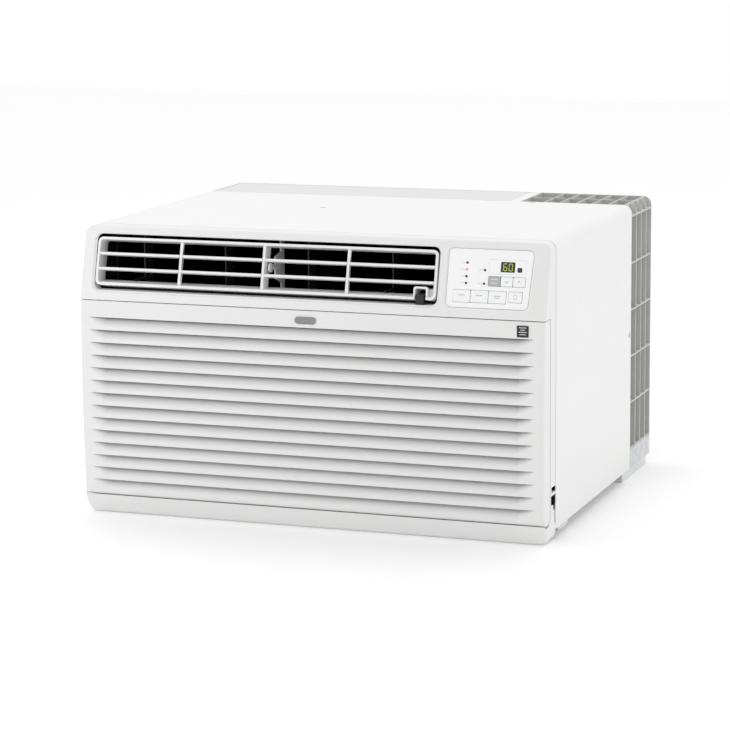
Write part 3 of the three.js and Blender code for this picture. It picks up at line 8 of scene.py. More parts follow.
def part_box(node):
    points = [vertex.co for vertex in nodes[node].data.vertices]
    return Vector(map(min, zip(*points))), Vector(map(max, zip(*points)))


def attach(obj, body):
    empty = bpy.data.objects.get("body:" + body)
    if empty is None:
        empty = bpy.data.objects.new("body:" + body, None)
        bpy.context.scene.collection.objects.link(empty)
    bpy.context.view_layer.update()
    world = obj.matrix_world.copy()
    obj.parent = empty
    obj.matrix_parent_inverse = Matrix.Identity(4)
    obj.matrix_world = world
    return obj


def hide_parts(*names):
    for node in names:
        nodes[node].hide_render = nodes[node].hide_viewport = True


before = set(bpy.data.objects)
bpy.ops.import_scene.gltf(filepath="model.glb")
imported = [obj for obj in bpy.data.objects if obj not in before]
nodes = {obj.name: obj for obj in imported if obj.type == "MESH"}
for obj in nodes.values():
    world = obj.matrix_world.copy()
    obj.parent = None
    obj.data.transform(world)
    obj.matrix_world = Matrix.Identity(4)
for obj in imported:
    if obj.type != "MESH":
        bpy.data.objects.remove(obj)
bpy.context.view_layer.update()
scene = bpy.context.scene

MM = 0.001


# ---------- Sizes taken from the frame ----------

casing_low, casing_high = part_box("front_frame")
grille_low, grille_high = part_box("inlet_grille")
duct_low, duct_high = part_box("outlet_duct")
cabinet_low, cabinet_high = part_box("cabinet")

HALF_WIDTH = casing_high.x
HEIGHT = casing_high.z
SEAM_Y = casing_high.y  # where the plastic front meets the steel cabinet
FACE_Y = casing_low.y
HEAD_Z = grille_high.z + 1 * MM
STRIP_Z = grille_low.z + 2 * MM
LEAN = math.radians(14.7)
CORNER = 11 * MM
WALL = 3 * MM
FACE_ROUND = 2.6 * MM
HEEL = 12 * MM
STRIP_LEAN = 12.5 * MM
BOW = 3.5 * MM
WRAP_Y = FACE_Y + 22.5 * MM

OUTLET_X0 = duct_low.x + 4 * MM
OUTLET_X1 = duct_high.x - 4 * MM
OUTLET_Z0 = duct_low.z + 3.8 * MM
OUTLET_Z1 = duct_high.z - 3.6 * MM
LOUVRE_Y = SEAM_Y - 20.5 * MM
LOUVRE_Z = (OUTLET_Z0 + OUTLET_Z1) / 2
VENT_X = OUTLET_X1 - 21.5 * MM

PANEL_X0 = HALF_WIDTH - 126 * MM
PANEL_X1 = HALF_WIDTH - 20 * MM
PANEL_BOTTOM = 12.6 * MM
PANEL_HEIGHT = 71 * MM
PANEL_SLANT = 3.8 * MM
PANEL_CORNER = 6 * MM
PANEL_RECESS = 1.2 * MM


# ---------- Directions to build in ----------

# Each takes an outline's (u, v) and a depth w to the frame's axes.
ALONG_X = Matrix(((0, 0, 1, 0), (1, 0, 0, 0), (0, 1, 0, 0), (0, 0, 0, 1)))
ALONG_Y = Matrix(((1, 0, 0, 0), (0, 0, 1, 0), (0, 1, 0, 0), (0, 0, 0, 1)))
ALONG_Z = Matrix.Identity(4)


def leaning(y, z):
    """The plane of the head through (y, z): u runs right, v climbs the face and w points out of it."""
    return Matrix.Translation((0, y, z)) @ Matrix.Rotation(math.pi / 2 - LEAN, 4, "X")


ON_HEAD = leaning(FACE_Y, HEAD_Z)
SLOPE = math.tan(LEAN)
# Looks along Y, with the depth counted from the leaning face.
BEHIND_HEAD = Matrix(((1, 0, 0, 0), (0, SLOPE, 1, FACE_Y - HEAD_Z * SLOPE), (0, 1, 0, 0), (0, 0, 0, 1)))
IN_LOUVRE = leaning(LOUVRE_Y, LOUVRE_Z) @ Matrix.Translation((0, -1.2 * MM, 0))


# ---------- Outlines ----------


def rounded(corners, steps=6):
    """A closed outline from [u, v, radius] corners, with an arc at each corner that has a radius."""
    points = []
    for i, (u, v, radius) in enumerate(corners):
        here = Vector((u, v))
        if radius <= 0:
            points.append(here)
            continue
        back = (Vector(corners[i - 1][:2]) - here).normalized()
        ahead = (Vector(corners[(i + 1) % len(corners)][:2]) - here).normalized()
        half = back.angle(ahead) / 2
        middle = here + (back + ahead).normalized() * (radius / math.sin(half))
        start = here + back * (radius / math.tan(half)) - middle
        sweep = start.angle_signed(here + ahead * (radius / math.tan(half)) - middle)
        for k in range(steps + 1):
            turn = Matrix.Rotation(-sweep * k / steps, 2)
            points.append(middle + turn @ start)
    return points


def rounded_box(u0, u1, v0, v1, radius, steps=6):
    return rounded([(u0, v0, radius), (u1, v0, radius), (u1, v1, radius), (u0, v1, radius)], steps)


def disc(u, v, radius, sides=20):
    angles = [2 * math.pi * k / sides for k in range(sides)]
    return [Vector((u + radius * math.cos(a), v + radius * math.sin(a))) for a in angles]


def panel_outline(grow, steps=8):
    left, right = PANEL_X0 - grow, PANEL_X1 + grow
    bottom, top = PANEL_BOTTOM - grow, PANEL_BOTTOM + PANEL_HEIGHT + grow
    corners = [(left, bottom), (right - PANEL_SLANT, bottom), (right, top), (left, top)]
    return rounded([(u, v, PANEL_CORNER + grow) for u, v in corners], steps)


# ---------- Making meshes ----------


def prism(bm, outline, low, high, place=ALONG_Z, outline_high=None):
    """Adds a closed solid between two like outlines, at depths low and high."""
    pairs = ((outline, low), (outline_high or outline, high))
    rings = [[bm.verts.new(place @ Vector((p[0], p[1], w))) for p in points] for points, w in pairs]
    near, far = rings
    faces = [bm.faces.new(near), bm.faces.new(far)]
    for i in range(len(near)):
        faces.append(bm.faces.new((near[i - 1], near[i], far[i], far[i - 1])))
    bmesh.ops.recalc_face_normals(bm, faces=faces)


def slab(outline, low, high, place=ALONG_Z, outline_high=None):
    """What builds one prism, for solids(), cut() or join()."""
    return lambda bm: prism(bm, outline, low, high, place, outline_high)


def block(bm, u0, u1, v0, v1, w0, w1, place=ALONG_Z):
    prism(bm, [(u0, v0), (u1, v0), (u1, v1), (u0, v1)], w0, w1, place)


def lathe(bm, profile, centre, axis="Z", sides=32):
    """Adds a closed turned solid from (radius, height) pairs, first and last on the axis."""
    turn = {"X": Matrix.Rotation(math.pi / 2, 4, "Y"), "Y": Matrix.Rotation(-math.pi / 2, 4, "X")}
    place = Matrix.Translation(centre) @ turn.get(axis, Matrix.Identity(4))
    rings = []
    for radius, height in profile:
        if radius == 0:
            rings.append([bm.verts.new(place @ Vector((0, 0, height)))])
            continue
        angles = (2 * math.pi * k / sides for k in range(sides))
        points = (Vector((radius * math.cos(a), radius * math.sin(a), height)) for a in angles)
        rings.append([bm.verts.new(place @ p) for p in points])
    faces = []
    for low, high in zip(rings, rings[1:]):
        for k in range(sides):
            m = (k + 1) % sides
            corners = [low[k % len(low)], low[m % len(low)], high[m % len(high)], high[k % len(high)]]
            faces.append(bm.faces.new(list(dict.fromkeys(corners))))
    bmesh.ops.recalc_face_normals(bm, faces=faces)


def solids(name, build):
    """An object whose mesh build() fills in."""
    mesh = bpy.data.meshes.new(name)
    bm = bmesh.new()
    build(bm)
    bm.to_mesh(mesh)
    bm.free()
    piece = bpy.data.objects.new(name, mesh)
    scene.collection.objects.link(piece)
    return piece


def settle(piece):
    """Turns a piece's modifiers into its plain mesh."""
    depsgraph = bpy.context.evaluated_depsgraph_get()
    mesh = bpy.data.meshes.new_from_object(piece.evaluated_get(depsgraph), depsgraph=depsgraph)
    rough = piece.data
    piece.modifiers.clear()
    piece.data = mesh
    bpy.data.meshes.remove(rough)


def combine(whole, build, operation):
    """Joins or cuts an object, or the solids that build() makes, to or from a piece."""
    tool = build if isinstance(build, bpy.types.Object) else solids("tool", build)
    step = whole.modifiers.new("combine", "BOOLEAN")
    step.operation = operation
    step.solver = "EXACT"
    step.use_self = True
    step.object = tool
    settle(whole)
    bpy.data.objects.remove(tool)


def cut(whole, build):
    combine(whole, build, "DIFFERENCE")


def join(whole, build):
    combine(whole, build, "UNION")


def soften(piece, width, segments=2, sharpest=32):
    """Merges the flat faces, rounds the sharp edges and shades the result smoothly."""
    bm = bmesh.new()
    bm.from_mesh(piece.data)
    bmesh.ops.remove_doubles(bm, verts=bm.verts, dist=0.01 * MM)
    bmesh.ops.dissolve_limit(bm, angle_limit=math.radians(0.4), verts=bm.verts, edges=bm.edges)
    limit = math.radians(sharpest)
    edges = [e for e in bm.edges if len(e.link_faces) == 2 and e.calc_face_angle() > limit]
    if width:
        bmesh.ops.bevel(bm, geom=edges, offset=width, segments=segments, profile=0.5, affect="EDGES")
    bm.to_mesh(piece.data)
    bm.free()
    shade(piece)


def shade(piece, sharpest=40):
    piece.data.shade_smooth()
    piece.data.set_sharp_from_angle(angle=math.radians(sharpest))
    step = piece.modifiers.new("even_shading", "WEIGHTED_NORMAL")
    step.keep_sharp = True
    settle(piece)


def dress(piece, body, slot, material, *replaced):
    """Gives a finished piece its material and its body, and hides the nodes it stands for; the slot is not
    used.
    """
    piece.data.materials.clear()
    piece.data.materials.append(material)
    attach(piece, body)
    if replaced:
        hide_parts(*replaced)
    return piece


def refined(node, name, body, slot, material, width=0.4 * MM, segments=2):
    """A softened copy of a CAD node, which stands for it."""
    copy = bpy.data.objects.new(name, nodes[node].data.copy())
    scene.collection.objects.link(copy)
    soften(copy, width, segments)
    return dress(copy, body, slot, material, node)


# ---------- Repeats ----------


class Nodes:
    """Builds nodes in a tree by type, with their inputs set or linked."""

    def __init__(self, tree):
        self.tree = tree

    def node(self, kind, inputs=None, **settings):
        node = self.tree.nodes.new(kind)
        for key, value in settings.items():
            setattr(node, key, value)
        for key, value in (inputs or {}).items():
            if isinstance(value, bpy.types.NodeSocket):
                self.tree.links.new(value, node.inputs[key])
            else:
                node.inputs[key].default_value = value
        return node

    def place(self):
        return self.node("ShaderNodeTexCoord").outputs["Object"]

    def cloud(self, scale, detail, place=None):
        """Soft noise through the object, from 0 to 1."""
        inputs = {"Vector": place or self.place(), "Scale": scale, "Detail": detail}
        return self.node("ShaderNodeTexNoise", inputs).outputs["Fac"]

    def times(self, a, b):
        return self.math("MULTIPLY", a, b)

    def math(self, operation, a, b=None):
        inputs = {0: a} if b is None else {0: a, 1: b}
        return self.node("ShaderNodeMath", inputs, operation=operation).outputs[0]

    def blend(self, factor, a, b):
        """Colour a going over to colour b as the factor goes from 0 to 1."""
        inputs = {0: factor, 6: a, 7: b}
        return self.node("ShaderNodeMix", inputs, data_type="RGBA").outputs[2]


class Tree(Nodes):
    """A node group with named inputs and outputs."""

    def __init__(self, name, kind="GeometryNodeTree"):
        super().__init__(bpy.data.node_groups.new(name, kind))
        self.start = self.tree.nodes.new("NodeGroupInput")
        self.end = self.tree.nodes.new("NodeGroupOutput")

    def takes(self, **kinds):
        """Adds inputs, each with its kind of socket, and returns where they come in."""
        for name, kind in kinds.items():
            self.tree.interface.new_socket(name, in_out="INPUT", socket_type="NodeSocket" + kind)
        return [self.start.outputs[name] for name in kinds]

    def gives(self, name, kind, source):
        self.tree.interface.new_socket(name, in_out="OUTPUT", socket_type="NodeSocket" + kind)
        self.tree.links.new(source, self.end.inputs[name])

    def copies(self, points, piece, **turned):
        """A copy of a piece on every point, as real mesh."""
        inputs = {"Points": points.outputs[0], "Instance": piece, **turned}
        copies = self.node("GeometryNodeInstanceOnPoints", inputs)
        return self.node("GeometryNodeRealizeInstances", {0: copies.outputs[0]}).outputs[0]

    def painted(self, mesh, material):
        """Ends the tree with its mesh in a material."""
        painted = self.node("GeometryNodeSetMaterial", {"Geometry": mesh, "Material": material})
        self.gives("Geometry", "Geometry", painted.outputs[0])
        return self.tree


def apply_tree(piece, tree, values):
    """Runs a node tree on a piece with named input values, and keeps the plain result."""
    step = piece.modifiers.new("repeat", "NODES")
    step.node_group = tree
    for item in tree.interface.items_tree:
        if item.in_out == "INPUT" and item.name in values:
            step[item.identifier] = values[item.name]
    settle(piece)


def row_tree():
    """Copies of a piece in an evenly spaced row."""
    t = Tree("row_of_pieces")
    kinds = {"Piece": "Geometry", "Count": "Int", "Spacing": "Vector", "Material": "Material"}
    piece, count, spacing, material = t.takes(**kinds)
    line = t.node("GeometryNodeMeshLine", {"Count": count, "Offset": spacing})
    return t.painted(t.copies(line, piece), material)


def ring_tree():
    """Copies of a piece turned round an axis that runs along Y through a centre."""
    t = Tree("ring_of_pieces")
    kinds = {"Piece": "Geometry", "Count": "Int", "Centre": "Vector", "Material": "Material"}
    piece, count, centre, material = t.takes(**kinds)
    points = t.node("GeometryNodePoints", {"Count": count, "Position": centre})
    step = t.math("DIVIDE", 2 * math.pi, count)
    angle = t.times(t.node("GeometryNodeInputIndex").outputs[0], step)
    turn = t.node("ShaderNodeCombineXYZ", {"Y": angle})
    return t.painted(t.copies(points, piece, Rotation=turn.outputs[0]), material)


def bowed_louvre_tree():
    """Louvres one under another between plain lands, with the whole face bowed forward."""
    t = Tree("bowed_louvres")
    louvre, lands, count = t.takes(Louvre="Geometry", Lands="Object", Count="Int")
    pitch, bow, foot, crown = t.takes(Pitch="Float", Bow="Float", Foot="Float", Crown="Float")
    front, rear, material = t.takes(Front="Float", Rear="Float", Material="Material")
    drop = t.node("ShaderNodeCombineXYZ", {"Z": t.times(pitch, -1.0)})
    line = t.node("GeometryNodeMeshLine", {"Count": count, "Offset": drop.outputs[0]})
    plain = t.node("GeometryNodeObjectInfo", {"Object": lands})
    both = t.node("GeometryNodeJoinGeometry")
    t.tree.links.new(t.copies(line, louvre), both.inputs[0])
    t.tree.links.new(plain.outputs["Geometry"], both.inputs[0])
    whole = t.node("GeometryNodeMergeByDistance", {"Geometry": both.outputs[0], "Distance": 0.02 * MM})
    place = t.node("ShaderNodeSeparateXYZ", {0: t.node("GeometryNodeInputPosition").outputs[0]})
    rise = {"Value": place.outputs["Z"], "From Min": foot, "From Max": crown, "To Max": math.pi}
    up = t.node("ShaderNodeMapRange", rise)
    ahead = t.node("ShaderNodeMapRange", {"Value": place.outputs["Y"], "From Min": rear, "From Max": front})
    lift = t.times(t.math("SINE", up.outputs[0]), ahead.outputs[0])
    shift = t.node("ShaderNodeCombineXYZ", {"Y": t.times(t.times(lift, bow), -1.0)})
    bowed = t.node("GeometryNodeSetPosition", {"Geometry": whole.outputs[0], "Offset": shift.outputs[0]})
    return t.painted(bowed.outputs[0], material)


ROW = row_tree()
RING = ring_tree()


def row(name, build, count, spacing, material):
    piece = solids(name, build)
    apply_tree(piece, ROW, {"Count": count, "Spacing": spacing, "Material": material})
    return piece


# ---------- Finishes ----------


def uneven_tone_group():
    """A colour that drifts a little from place to place, as moulded and painted surfaces do."""
    t = Tree("uneven_tone", "ShaderNodeTree")
    color, drift, scale, amount = t.takes(Color="Color", Drift="Color", Scale="Float", Amount="Float")
    share = t.times(t.cloud(scale, 4.0), amount)
    t.gives("Color", "Color", t.blend(share, color, drift))
    return t.tree


def mould_grain_group():
    """The fine height of a spark-eroded or sprayed surface, with a broader waviness under it."""
    t = Tree("mould_grain", "ShaderNodeTree")
    scale, wave, share = t.takes(Scale="Float", Wave="Float", Share="Float")
    broad = t.times(t.cloud(wave, 1.0), share)
    t.gives("Height", "Float", t.math("ADD", t.cloud(scale, 2.0), broad))
    return t.tree


def handled_gloss_group():
    """A roughness that is smoother and duller in soft patches, as from wiping and handling."""
    t = Tree("handled_gloss", "ShaderNodeTree")
    middle, spread, scale = t.takes(Middle="Float", Spread="Float", Scale="Float")
    swing = t.times(t.math("SUBTRACT", t.cloud(scale, 5.0), 0.5), spread)
    t.gives("Roughness", "Float", t.math("ADD", middle, swing))
    return t.tree


def settled_dust_group():
    """Where dust lies: on faces that look up, in soft patches."""
    t = Tree("settled_dust", "ShaderNodeTree")
    amount, scale = t.takes(Amount="Float", Scale="Float")
    facing = t.node("ShaderNodeSeparateXYZ", {0: t.node("ShaderNodeNewGeometry").outputs["Normal"]})
    up = t.math("MAXIMUM", facing.outputs["Z"], 0.0)
    t.gives("Mask", "Float", t.times(t.times(up, t.cloud(scale, 6.0)), amount))
    return t.tree


UNEVEN_TONE = uneven_tone_group()
MOULD_GRAIN = mould_grain_group()
HANDLED_GLOSS = handled_gloss_group()
SETTLED_DUST = settled_dust_group()
DUST_COLOR = (0.42, 0.40, 0.37, 1.0)


class Finish(Nodes):
    """A material on one principled shader. Plain values are set on the shader's own sockets."""

    def __init__(self, name, metallic=0.0, **plain):
        self.material = bpy.data.materials.new(name)
        self.material.use_nodes = True
        super().__init__(self.material.node_tree)
        self.shader = self.tree.nodes["Principled BSDF"]
        self.shader.inputs["Metallic"].default_value = metallic
        for key, value in plain.items():
            self.shader.inputs[key.replace("_", " ").title()].default_value = value

    def group(self, tree, **inputs):
        """What a node group gives for its inputs."""
        return self.node("ShaderNodeGroup", inputs, node_tree=tree).outputs[0]

    def feed(self, key, source):
        self.tree.links.new(source, self.shader.inputs[key])

    def tone(self, color, drift, scale, amount):
        """The uneven colour of the surface."""
        return self.group(UNEVEN_TONE, Color=(*color, 1), Drift=(*drift, 1), Scale=scale, Amount=amount)

    def gloss(self, roughness, spread, scale):
        """The handled gloss of the surface, as its roughness."""
        source = self.group(HANDLED_GLOSS, Middle=roughness, Spread=spread, Scale=scale)
        self.feed("Roughness", source)
        return source

    def bump(self, height, distance, strength=0.5):
        inputs = {"Height": height, "Distance": distance, "Strength": strength}
        self.feed("Normal", self.node("ShaderNodeBump", inputs).outputs["Normal"])


def coated(name, color, roughness, grain, tone=0.12, dust=0.0, spread=0.12, metallic=0.0, **plain):
    """A moulded or painted finish. grain is (scale, height in mm, waviness)."""
    f = Finish(name, metallic, **plain)
    scale, height, wave = grain
    darker = tuple(c * 0.8 for c in color)
    shown = f.tone(color, darker, 9.0, tone)
    if dust:
        mask = f.group(SETTLED_DUST, Amount=dust, Scale=90.0)
        shown = f.blend(mask, shown, DUST_COLOR)
    f.feed("Base Color", shown)
    f.gloss(roughness, spread, 16.0)
    f.bump(f.group(MOULD_GRAIN, Scale=scale, Wave=40.0, Share=wave), height * MM)
    return f.material


def zinc_coated(name, color, roughness, spangle):
    """Galvanised sheet: pale crystals of slightly different tone and gloss, and fine rolling streaks."""
    f = Finish(name, metallic=0.75)
    place = f.place()
    crystal = f.node("ShaderNodeTexVoronoi", {"Vector": place, "Scale": spangle})
    tone = f.node("ShaderNodeSeparateColor", {0: crystal.outputs["Color"]}).outputs[0]
    darker = tuple(c * 0.86 for c in color)
    f.feed("Base Color", f.blend(tone, (*color, 1), (*darker, 1)))
    f.feed("Roughness", f.math("ADD", f.gloss(roughness, 0.2, 40.0), f.times(tone, 0.08)))
    along = f.node("ShaderNodeMapping", {"Vector": place, "Scale": (0.05, 1.0, 1.0)})
    f.bump(f.cloud(900.0, 2.0, along.outputs[0]), 0.02 * MM)
    return f.material


def drawn_metal(name, color, roughness, tarnish):
    """Bare tube or turned metal, with soft tarnish patches and fine drawing lines."""
    f = Finish(name, metallic=1.0)
    f.feed("Base Color", f.tone(color, tarnish, 45.0, 0.7))
    f.gloss(roughness, 0.3, 70.0)
    f.bump(f.group(MOULD_GRAIN, Scale=2500.0, Wave=200.0, Share=0.5), 0.01 * MM)
    return f.material


def fin_stock():
    """Thin aluminium fins, each a little brighter along its rolled lines."""
    f = Finish("bare_fins", metallic=0.8)
    rolled = {"Vector": f.place(), "Scale": 160.0, "Distortion": 0.4}
    lines = f.node("ShaderNodeTexWave", rolled, bands_direction="Z")
    f.feed("Base Color", f.blend(lines.outputs["Fac"], (0.62, 0.63, 0.63, 1), (0.44, 0.45, 0.45, 1)))
    f.gloss(0.38, 0.2, 60.0)
    f.bump(lines.outputs["Fac"], 0.05 * MM)
    return f.material


def woven_net():
    """The filter's net: two crossed sets of threads."""
    f = Finish("filter_net")
    threads = {"Vector": f.place(), "Scale": 170.0}
    across, up = (f.node("ShaderNodeTexWave", threads, bands_direction=way) for way in "XZ")
    thread = f.math("MAXIMUM", across.outputs["Fac"], up.outputs["Fac"])
    f.feed("Base Color", f.blend(thread, (0.010, 0.011, 0.012, 1), (0.16, 0.17, 0.18, 1)))
    f.gloss(0.7, 0.1, 30.0)
    f.bump(thread, 0.2 * MM)
    return f.material


def circuit_board():
    """A lacquered green board with lighter tracks."""
    f = Finish("board_lacquer", coat_weight=0.4)
    greens = {"Color1": (0.02, 0.10, 0.05, 1), "Color2": (0.03, 0.13, 0.06, 1)}
    tracks = {"Vector": f.place(), "Scale": 260.0, "Mortar Size": 0.05, "Mortar": (0.10, 0.28, 0.14, 1)}
    grid = f.node("ShaderNodeTexBrick", greens | tracks)
    f.feed("Base Color", grid.outputs["Color"])
    f.gloss(0.35, 0.1, 80.0)
    f.bump(grid.outputs["Fac"], 0.03 * MM)
    return f.material


def glowing(name, color, strength):
    """A lit segment or lamp."""
    f = Finish(name, emission_strength=strength)
    base = f.tone(color, color, 400.0, 1.0)
    f.feed("Base Color", base)
    f.feed("Emission Color", base)
    f.gloss(0.3, 0.1, 200.0)
    return f.material


casing_white = coated("casing_white", (0.8, 0.8, 0.795), 0.42, (1500, 0.03, 0.3))
louvre_white = coated("louvre_white", (0.83, 0.83, 0.825), 0.38, (1500, 0.02, 0.2))
cabinet_white = coated("cabinet_white", (0.82, 0.82, 0.815), 0.33, (420, 0.03, 0.6), 0.08)
# The panel's white is lighter than the casing's: partly its own white gloss plastic, partly a painted
# reflection of its gloss.
panel_white = coated("panel_white", (0.93, 0.93, 0.93), 0.16, (900, 0.006, 1.0), 0.05, coat_weight=0.6)
key_white = coated("key_white", (0.9, 0.905, 0.905), 0.3, (1800, 0.015, 0.3), 0.06)
key_grey = coated("key_grey", (0.44, 0.45, 0.455), 0.3, (1800, 0.015, 0.3), 0.08)
print_grey = coated("print_grey", (0.46, 0.465, 0.47), 0.5, (3000, 0.005, 0.3))
print_pale = coated("print_pale", (0.66, 0.665, 0.67), 0.5, (3000, 0.005, 0.3))
print_white = coated("print_white", (0.82, 0.82, 0.82), 0.45, (3000, 0.005, 0.3))
window_black = coated("window_black", (0.012, 0.014, 0.011), 0.08, (700, 0.003, 1.0), coat_weight=0.8)
lens_dark = coated("lens_dark", (0.045, 0.03, 0.025), 0.25, (2600, 0.01, 0.2))
badge_silver = coated("badge_silver", (0.26, 0.27, 0.28), 0.28, (1600, 0.01, 0.3), metallic=0.6)
sticker_black = coated("sticker_black", (0.015, 0.016, 0.018), 0.35, (2000, 0.008, 0.4))
matt_black = coated("matt_black", (0.01, 0.01, 0.011), 0.5, (1300, 0.04, 0.3), dust=0.1)
vane_black = coated("vane_black", (0.022, 0.022, 0.024), 0.4, (1300, 0.02, 0.3), dust=0.15)
cage_grey = coated("cage_grey", (0.56, 0.565, 0.54), 0.45, (1400, 0.03, 0.3), 0.2, dust=0.1)
plate_grey = coated("plate_grey", (0.7, 0.705, 0.7), 0.42, (1400, 0.03, 0.3), dust=0.05)
foam_black = coated("foam_black", (0.016, 0.016, 0.017), 0.9, (260, 0.5, 0.6), dust=0.3)
filter_grey = coated("filter_grey", (0.035, 0.038, 0.041), 0.5, (1500, 0.02, 0.3))
fan_grey = coated("fan_grey", (0.13, 0.14, 0.145), 0.45, (1400, 0.03, 0.3), dust=0.3)
enamel_black = coated("enamel_black", (0.008, 0.0085, 0.009), 0.28, (500, 0.06, 0.8), dust=0.25)
seal_rubber = coated("seal_rubber", (0.018, 0.018, 0.018), 0.75, (1200, 0.06, 0.3), dust=0.2)
pan_grey = coated("pan_grey", (0.7, 0.71, 0.71), 0.4, (420, 0.03, 0.5), metallic=0.1)
zinc_sheet = zinc_coated("zinc_sheet", (0.66, 0.67, 0.69), 0.36, 90.0)
zinc_bright = zinc_coated("zinc_bright", (0.72, 0.73, 0.75), 0.28, 400.0)
copper_tube = drawn_metal("copper_tube", (0.62, 0.27, 0.14), 0.32, (0.33, 0.14, 0.08))
can_metal = drawn_metal("can_metal", (0.58, 0.59, 0.60), 0.34, (0.42, 0.43, 0.44))
bare_fins = fin_stock()
filter_net = woven_net()
board_lacquer = circuit_board()
digit_glow = glowing("digit_glow", (0.40, 0.48, 0.09), 0.55)
lamp_glow = glowing("lamp_glow", (0.80, 0.27, 0.17), 0.5)


# ---------- Plastic front ----------

HINGE_Y = FACE_Y + 8.5 * MM
HINGE_Z = 32 * MM
HINGE_SWEEP = 8.6 * MM
TROUGH_Z = 22.5 * MM


def front_y(z):
    """Where the front stands at a height: the strip leans back, and so does the head."""
    if z <= STRIP_Z:
        return FACE_Y + STRIP_LEAN * (1 - z / STRIP_Z)
    return FACE_Y + max(0, z - HEAD_Z) * SLOPE


def heel_y(z):
    rise = max(0, HEEL - z)
    return SEAM_Y - (HEEL - math.sqrt(HEEL**2 - rise**2))


def half_section(inset):
    """The right half of the front view, from the bottom up, with its corners rounded."""
    reach = CORNER - inset
    angles = [math.pi / 2 * k / 8 for k in range(9)]
    side = HALF_WIDTH - CORNER
    points = [(side + reach * math.sin(a), CORNER - reach * math.cos(a)) for a in angles]
    points += [(HALF_WIDTH - inset, z) for z in (STRIP_Z, 0.1, 0.2, HEAD_Z)]
    top = HEIGHT - CORNER
    return points + [(side + reach * math.cos(a), top + reach * math.sin(a)) for a in angles]


def casing_shell(bm):
    rings = [[(x, heel_y(z), z) for x, z in half_section(0)]]
    for k in range(7):
        a = math.pi / 2 * k / 6
        drop = FACE_ROUND * (1 - math.sin(a))
        half = half_section(FACE_ROUND * (1 - math.cos(a)))
        rings.append([(x, front_y(z) + drop, z) for x, z in half])
    sides = [[[bm.verts.new((side * x, y, z)) for x, y, z in ring] for side in (1, -1)] for ring in rings]
    loops = [right + left[::-1] for right, left in sides]
    for near, far in zip(loops, loops[1:]):
        for i in range(len(near)):
            bm.faces.new((near[i - 1], near[i], far[i], far[i - 1]))
    for right, left in (sides[0], sides[-1]):
        for i in range(len(right) - 1):
            bm.faces.new((right[i], right[i + 1], left[i + 1], left[i]))
    bmesh.ops.recalc_face_normals(bm, faces=bm.faces)


def outlet_outline(grow):
    x = (OUTLET_X0 - grow, OUTLET_X1 + grow)
    return rounded_box(*x, OUTLET_Z0 - grow, OUTLET_Z1 + grow, 8 * MM + grow, 8)


def casing_hollow():
    """The inside of the head, less the collar round the outlet."""
    x, top = HALF_WIDTH - WALL, HEIGHT - WALL
    head = rounded([(-x, HEAD_Z + WALL, 0), (x, HEAD_Z + WALL, 0), (x, top, 8 * MM), (-x, top, 8 * MM)])
    hollow = solids("hollow", slab(head, WALL, 80 * MM, BEHIND_HEAD))
    cut(hollow, slab(outlet_outline(2.4 * MM), FACE_Y - 0.01, duct_low.y - 0.3 * MM, ALONG_Y))
    return hollow


# How far forward of the seam each step of the cord's way out reaches, and its foot and top.
CORD_NOTCH = [(17, 61.5, 68.5), (19, 45.5, 58), (9, 39, 46), (4, 22, 40)]


def casing_cuts(bm):
    x = HALF_WIDTH - WALL
    foot = rounded([(-x, WALL, 8 * MM), (x, WALL, 8 * MM), (x, HEAD_Z, 0), (-x, HEAD_Z, 0)])
    prism(bm, foot, FACE_Y + 16 * MM, SEAM_Y + 0.02, ALONG_Y)
    wide = HALF_WIDTH + 0.01
    lip, bay = FACE_Y + 1.2 * MM, WRAP_Y + 0.6 * MM
    space = [(FACE_Y - 0.02, STRIP_Z), (lip, STRIP_Z), (lip + 1.8 * MM, TROUGH_Z)]
    space += [(HINGE_Y + 6 * MM, TROUGH_Z), (bay, HINGE_Z - 2 * MM), (bay, HEAD_Z), (FACE_Y - 0.02, HEAD_Z)]
    prism(bm, space, -wide, wide, ALONG_X)
    prism(bm, outlet_outline(0), FACE_Y - 0.02, SEAM_Y + 0.01, ALONG_Y)
    prism(bm, panel_outline(0.4 * MM), -0.02, -PANEL_RECESS + 0.1 * MM, ON_HEAD)
    for length, low, high in CORD_NOTCH:
        y = (SEAM_Y - length * MM, SEAM_Y + 1 * MM)
        block(bm, HALF_WIDTH - 5 * MM, wide, *y, low * MM, high * MM)


def recess_edges(bm):
    """The sloping edges round the control panel and the outlet."""
    grown = panel_outline(3.1 * MM)
    prism(bm, panel_outline(0.4 * MM), -PANEL_RECESS, 0.6 * MM, ON_HEAD, grown)
    low, high = (OUTLET_Z0 - HEAD_Z) / math.cos(LEAN), (OUTLET_Z1 - HEAD_Z) / math.cos(LEAN)
    rims = []
    for grow in (1.2 * MM, 2.9 * MM):
        x = (OUTLET_X0 - grow, OUTLET_X1 + grow)
        rims.append(rounded_box(*x, low - grow, high + grow * 0.4, 8 * MM + grow, 8))
    prism(bm, rims[0], -1.8 * MM, 0.2 * MM, ON_HEAD, rims[1])


casing = solids("front_casing", casing_shell)
cut(casing, casing_hollow())
cut(casing, casing_cuts)
cut(casing, recess_edges)
shade(casing, 30)
dress(casing, "chassis", "casing_plastic", casing_white, "front_frame")


# ---------- Inlet grille ----------

LOUVRES = 14
LOUVRE_TOP = HEAD_Z - 22 * MM
LOUVRE_FOOT = STRIP_Z + 4 * MM
PITCH = (LOUVRE_TOP - LOUVRE_FOOT) / LOUVRES
SLOT = 2.3 * MM
SINK = 8 * MM
SKIN = 2.4 * MM
SLOT_MARGIN = 13 * MM
TAPER = 22 * MM
STEPS = 8


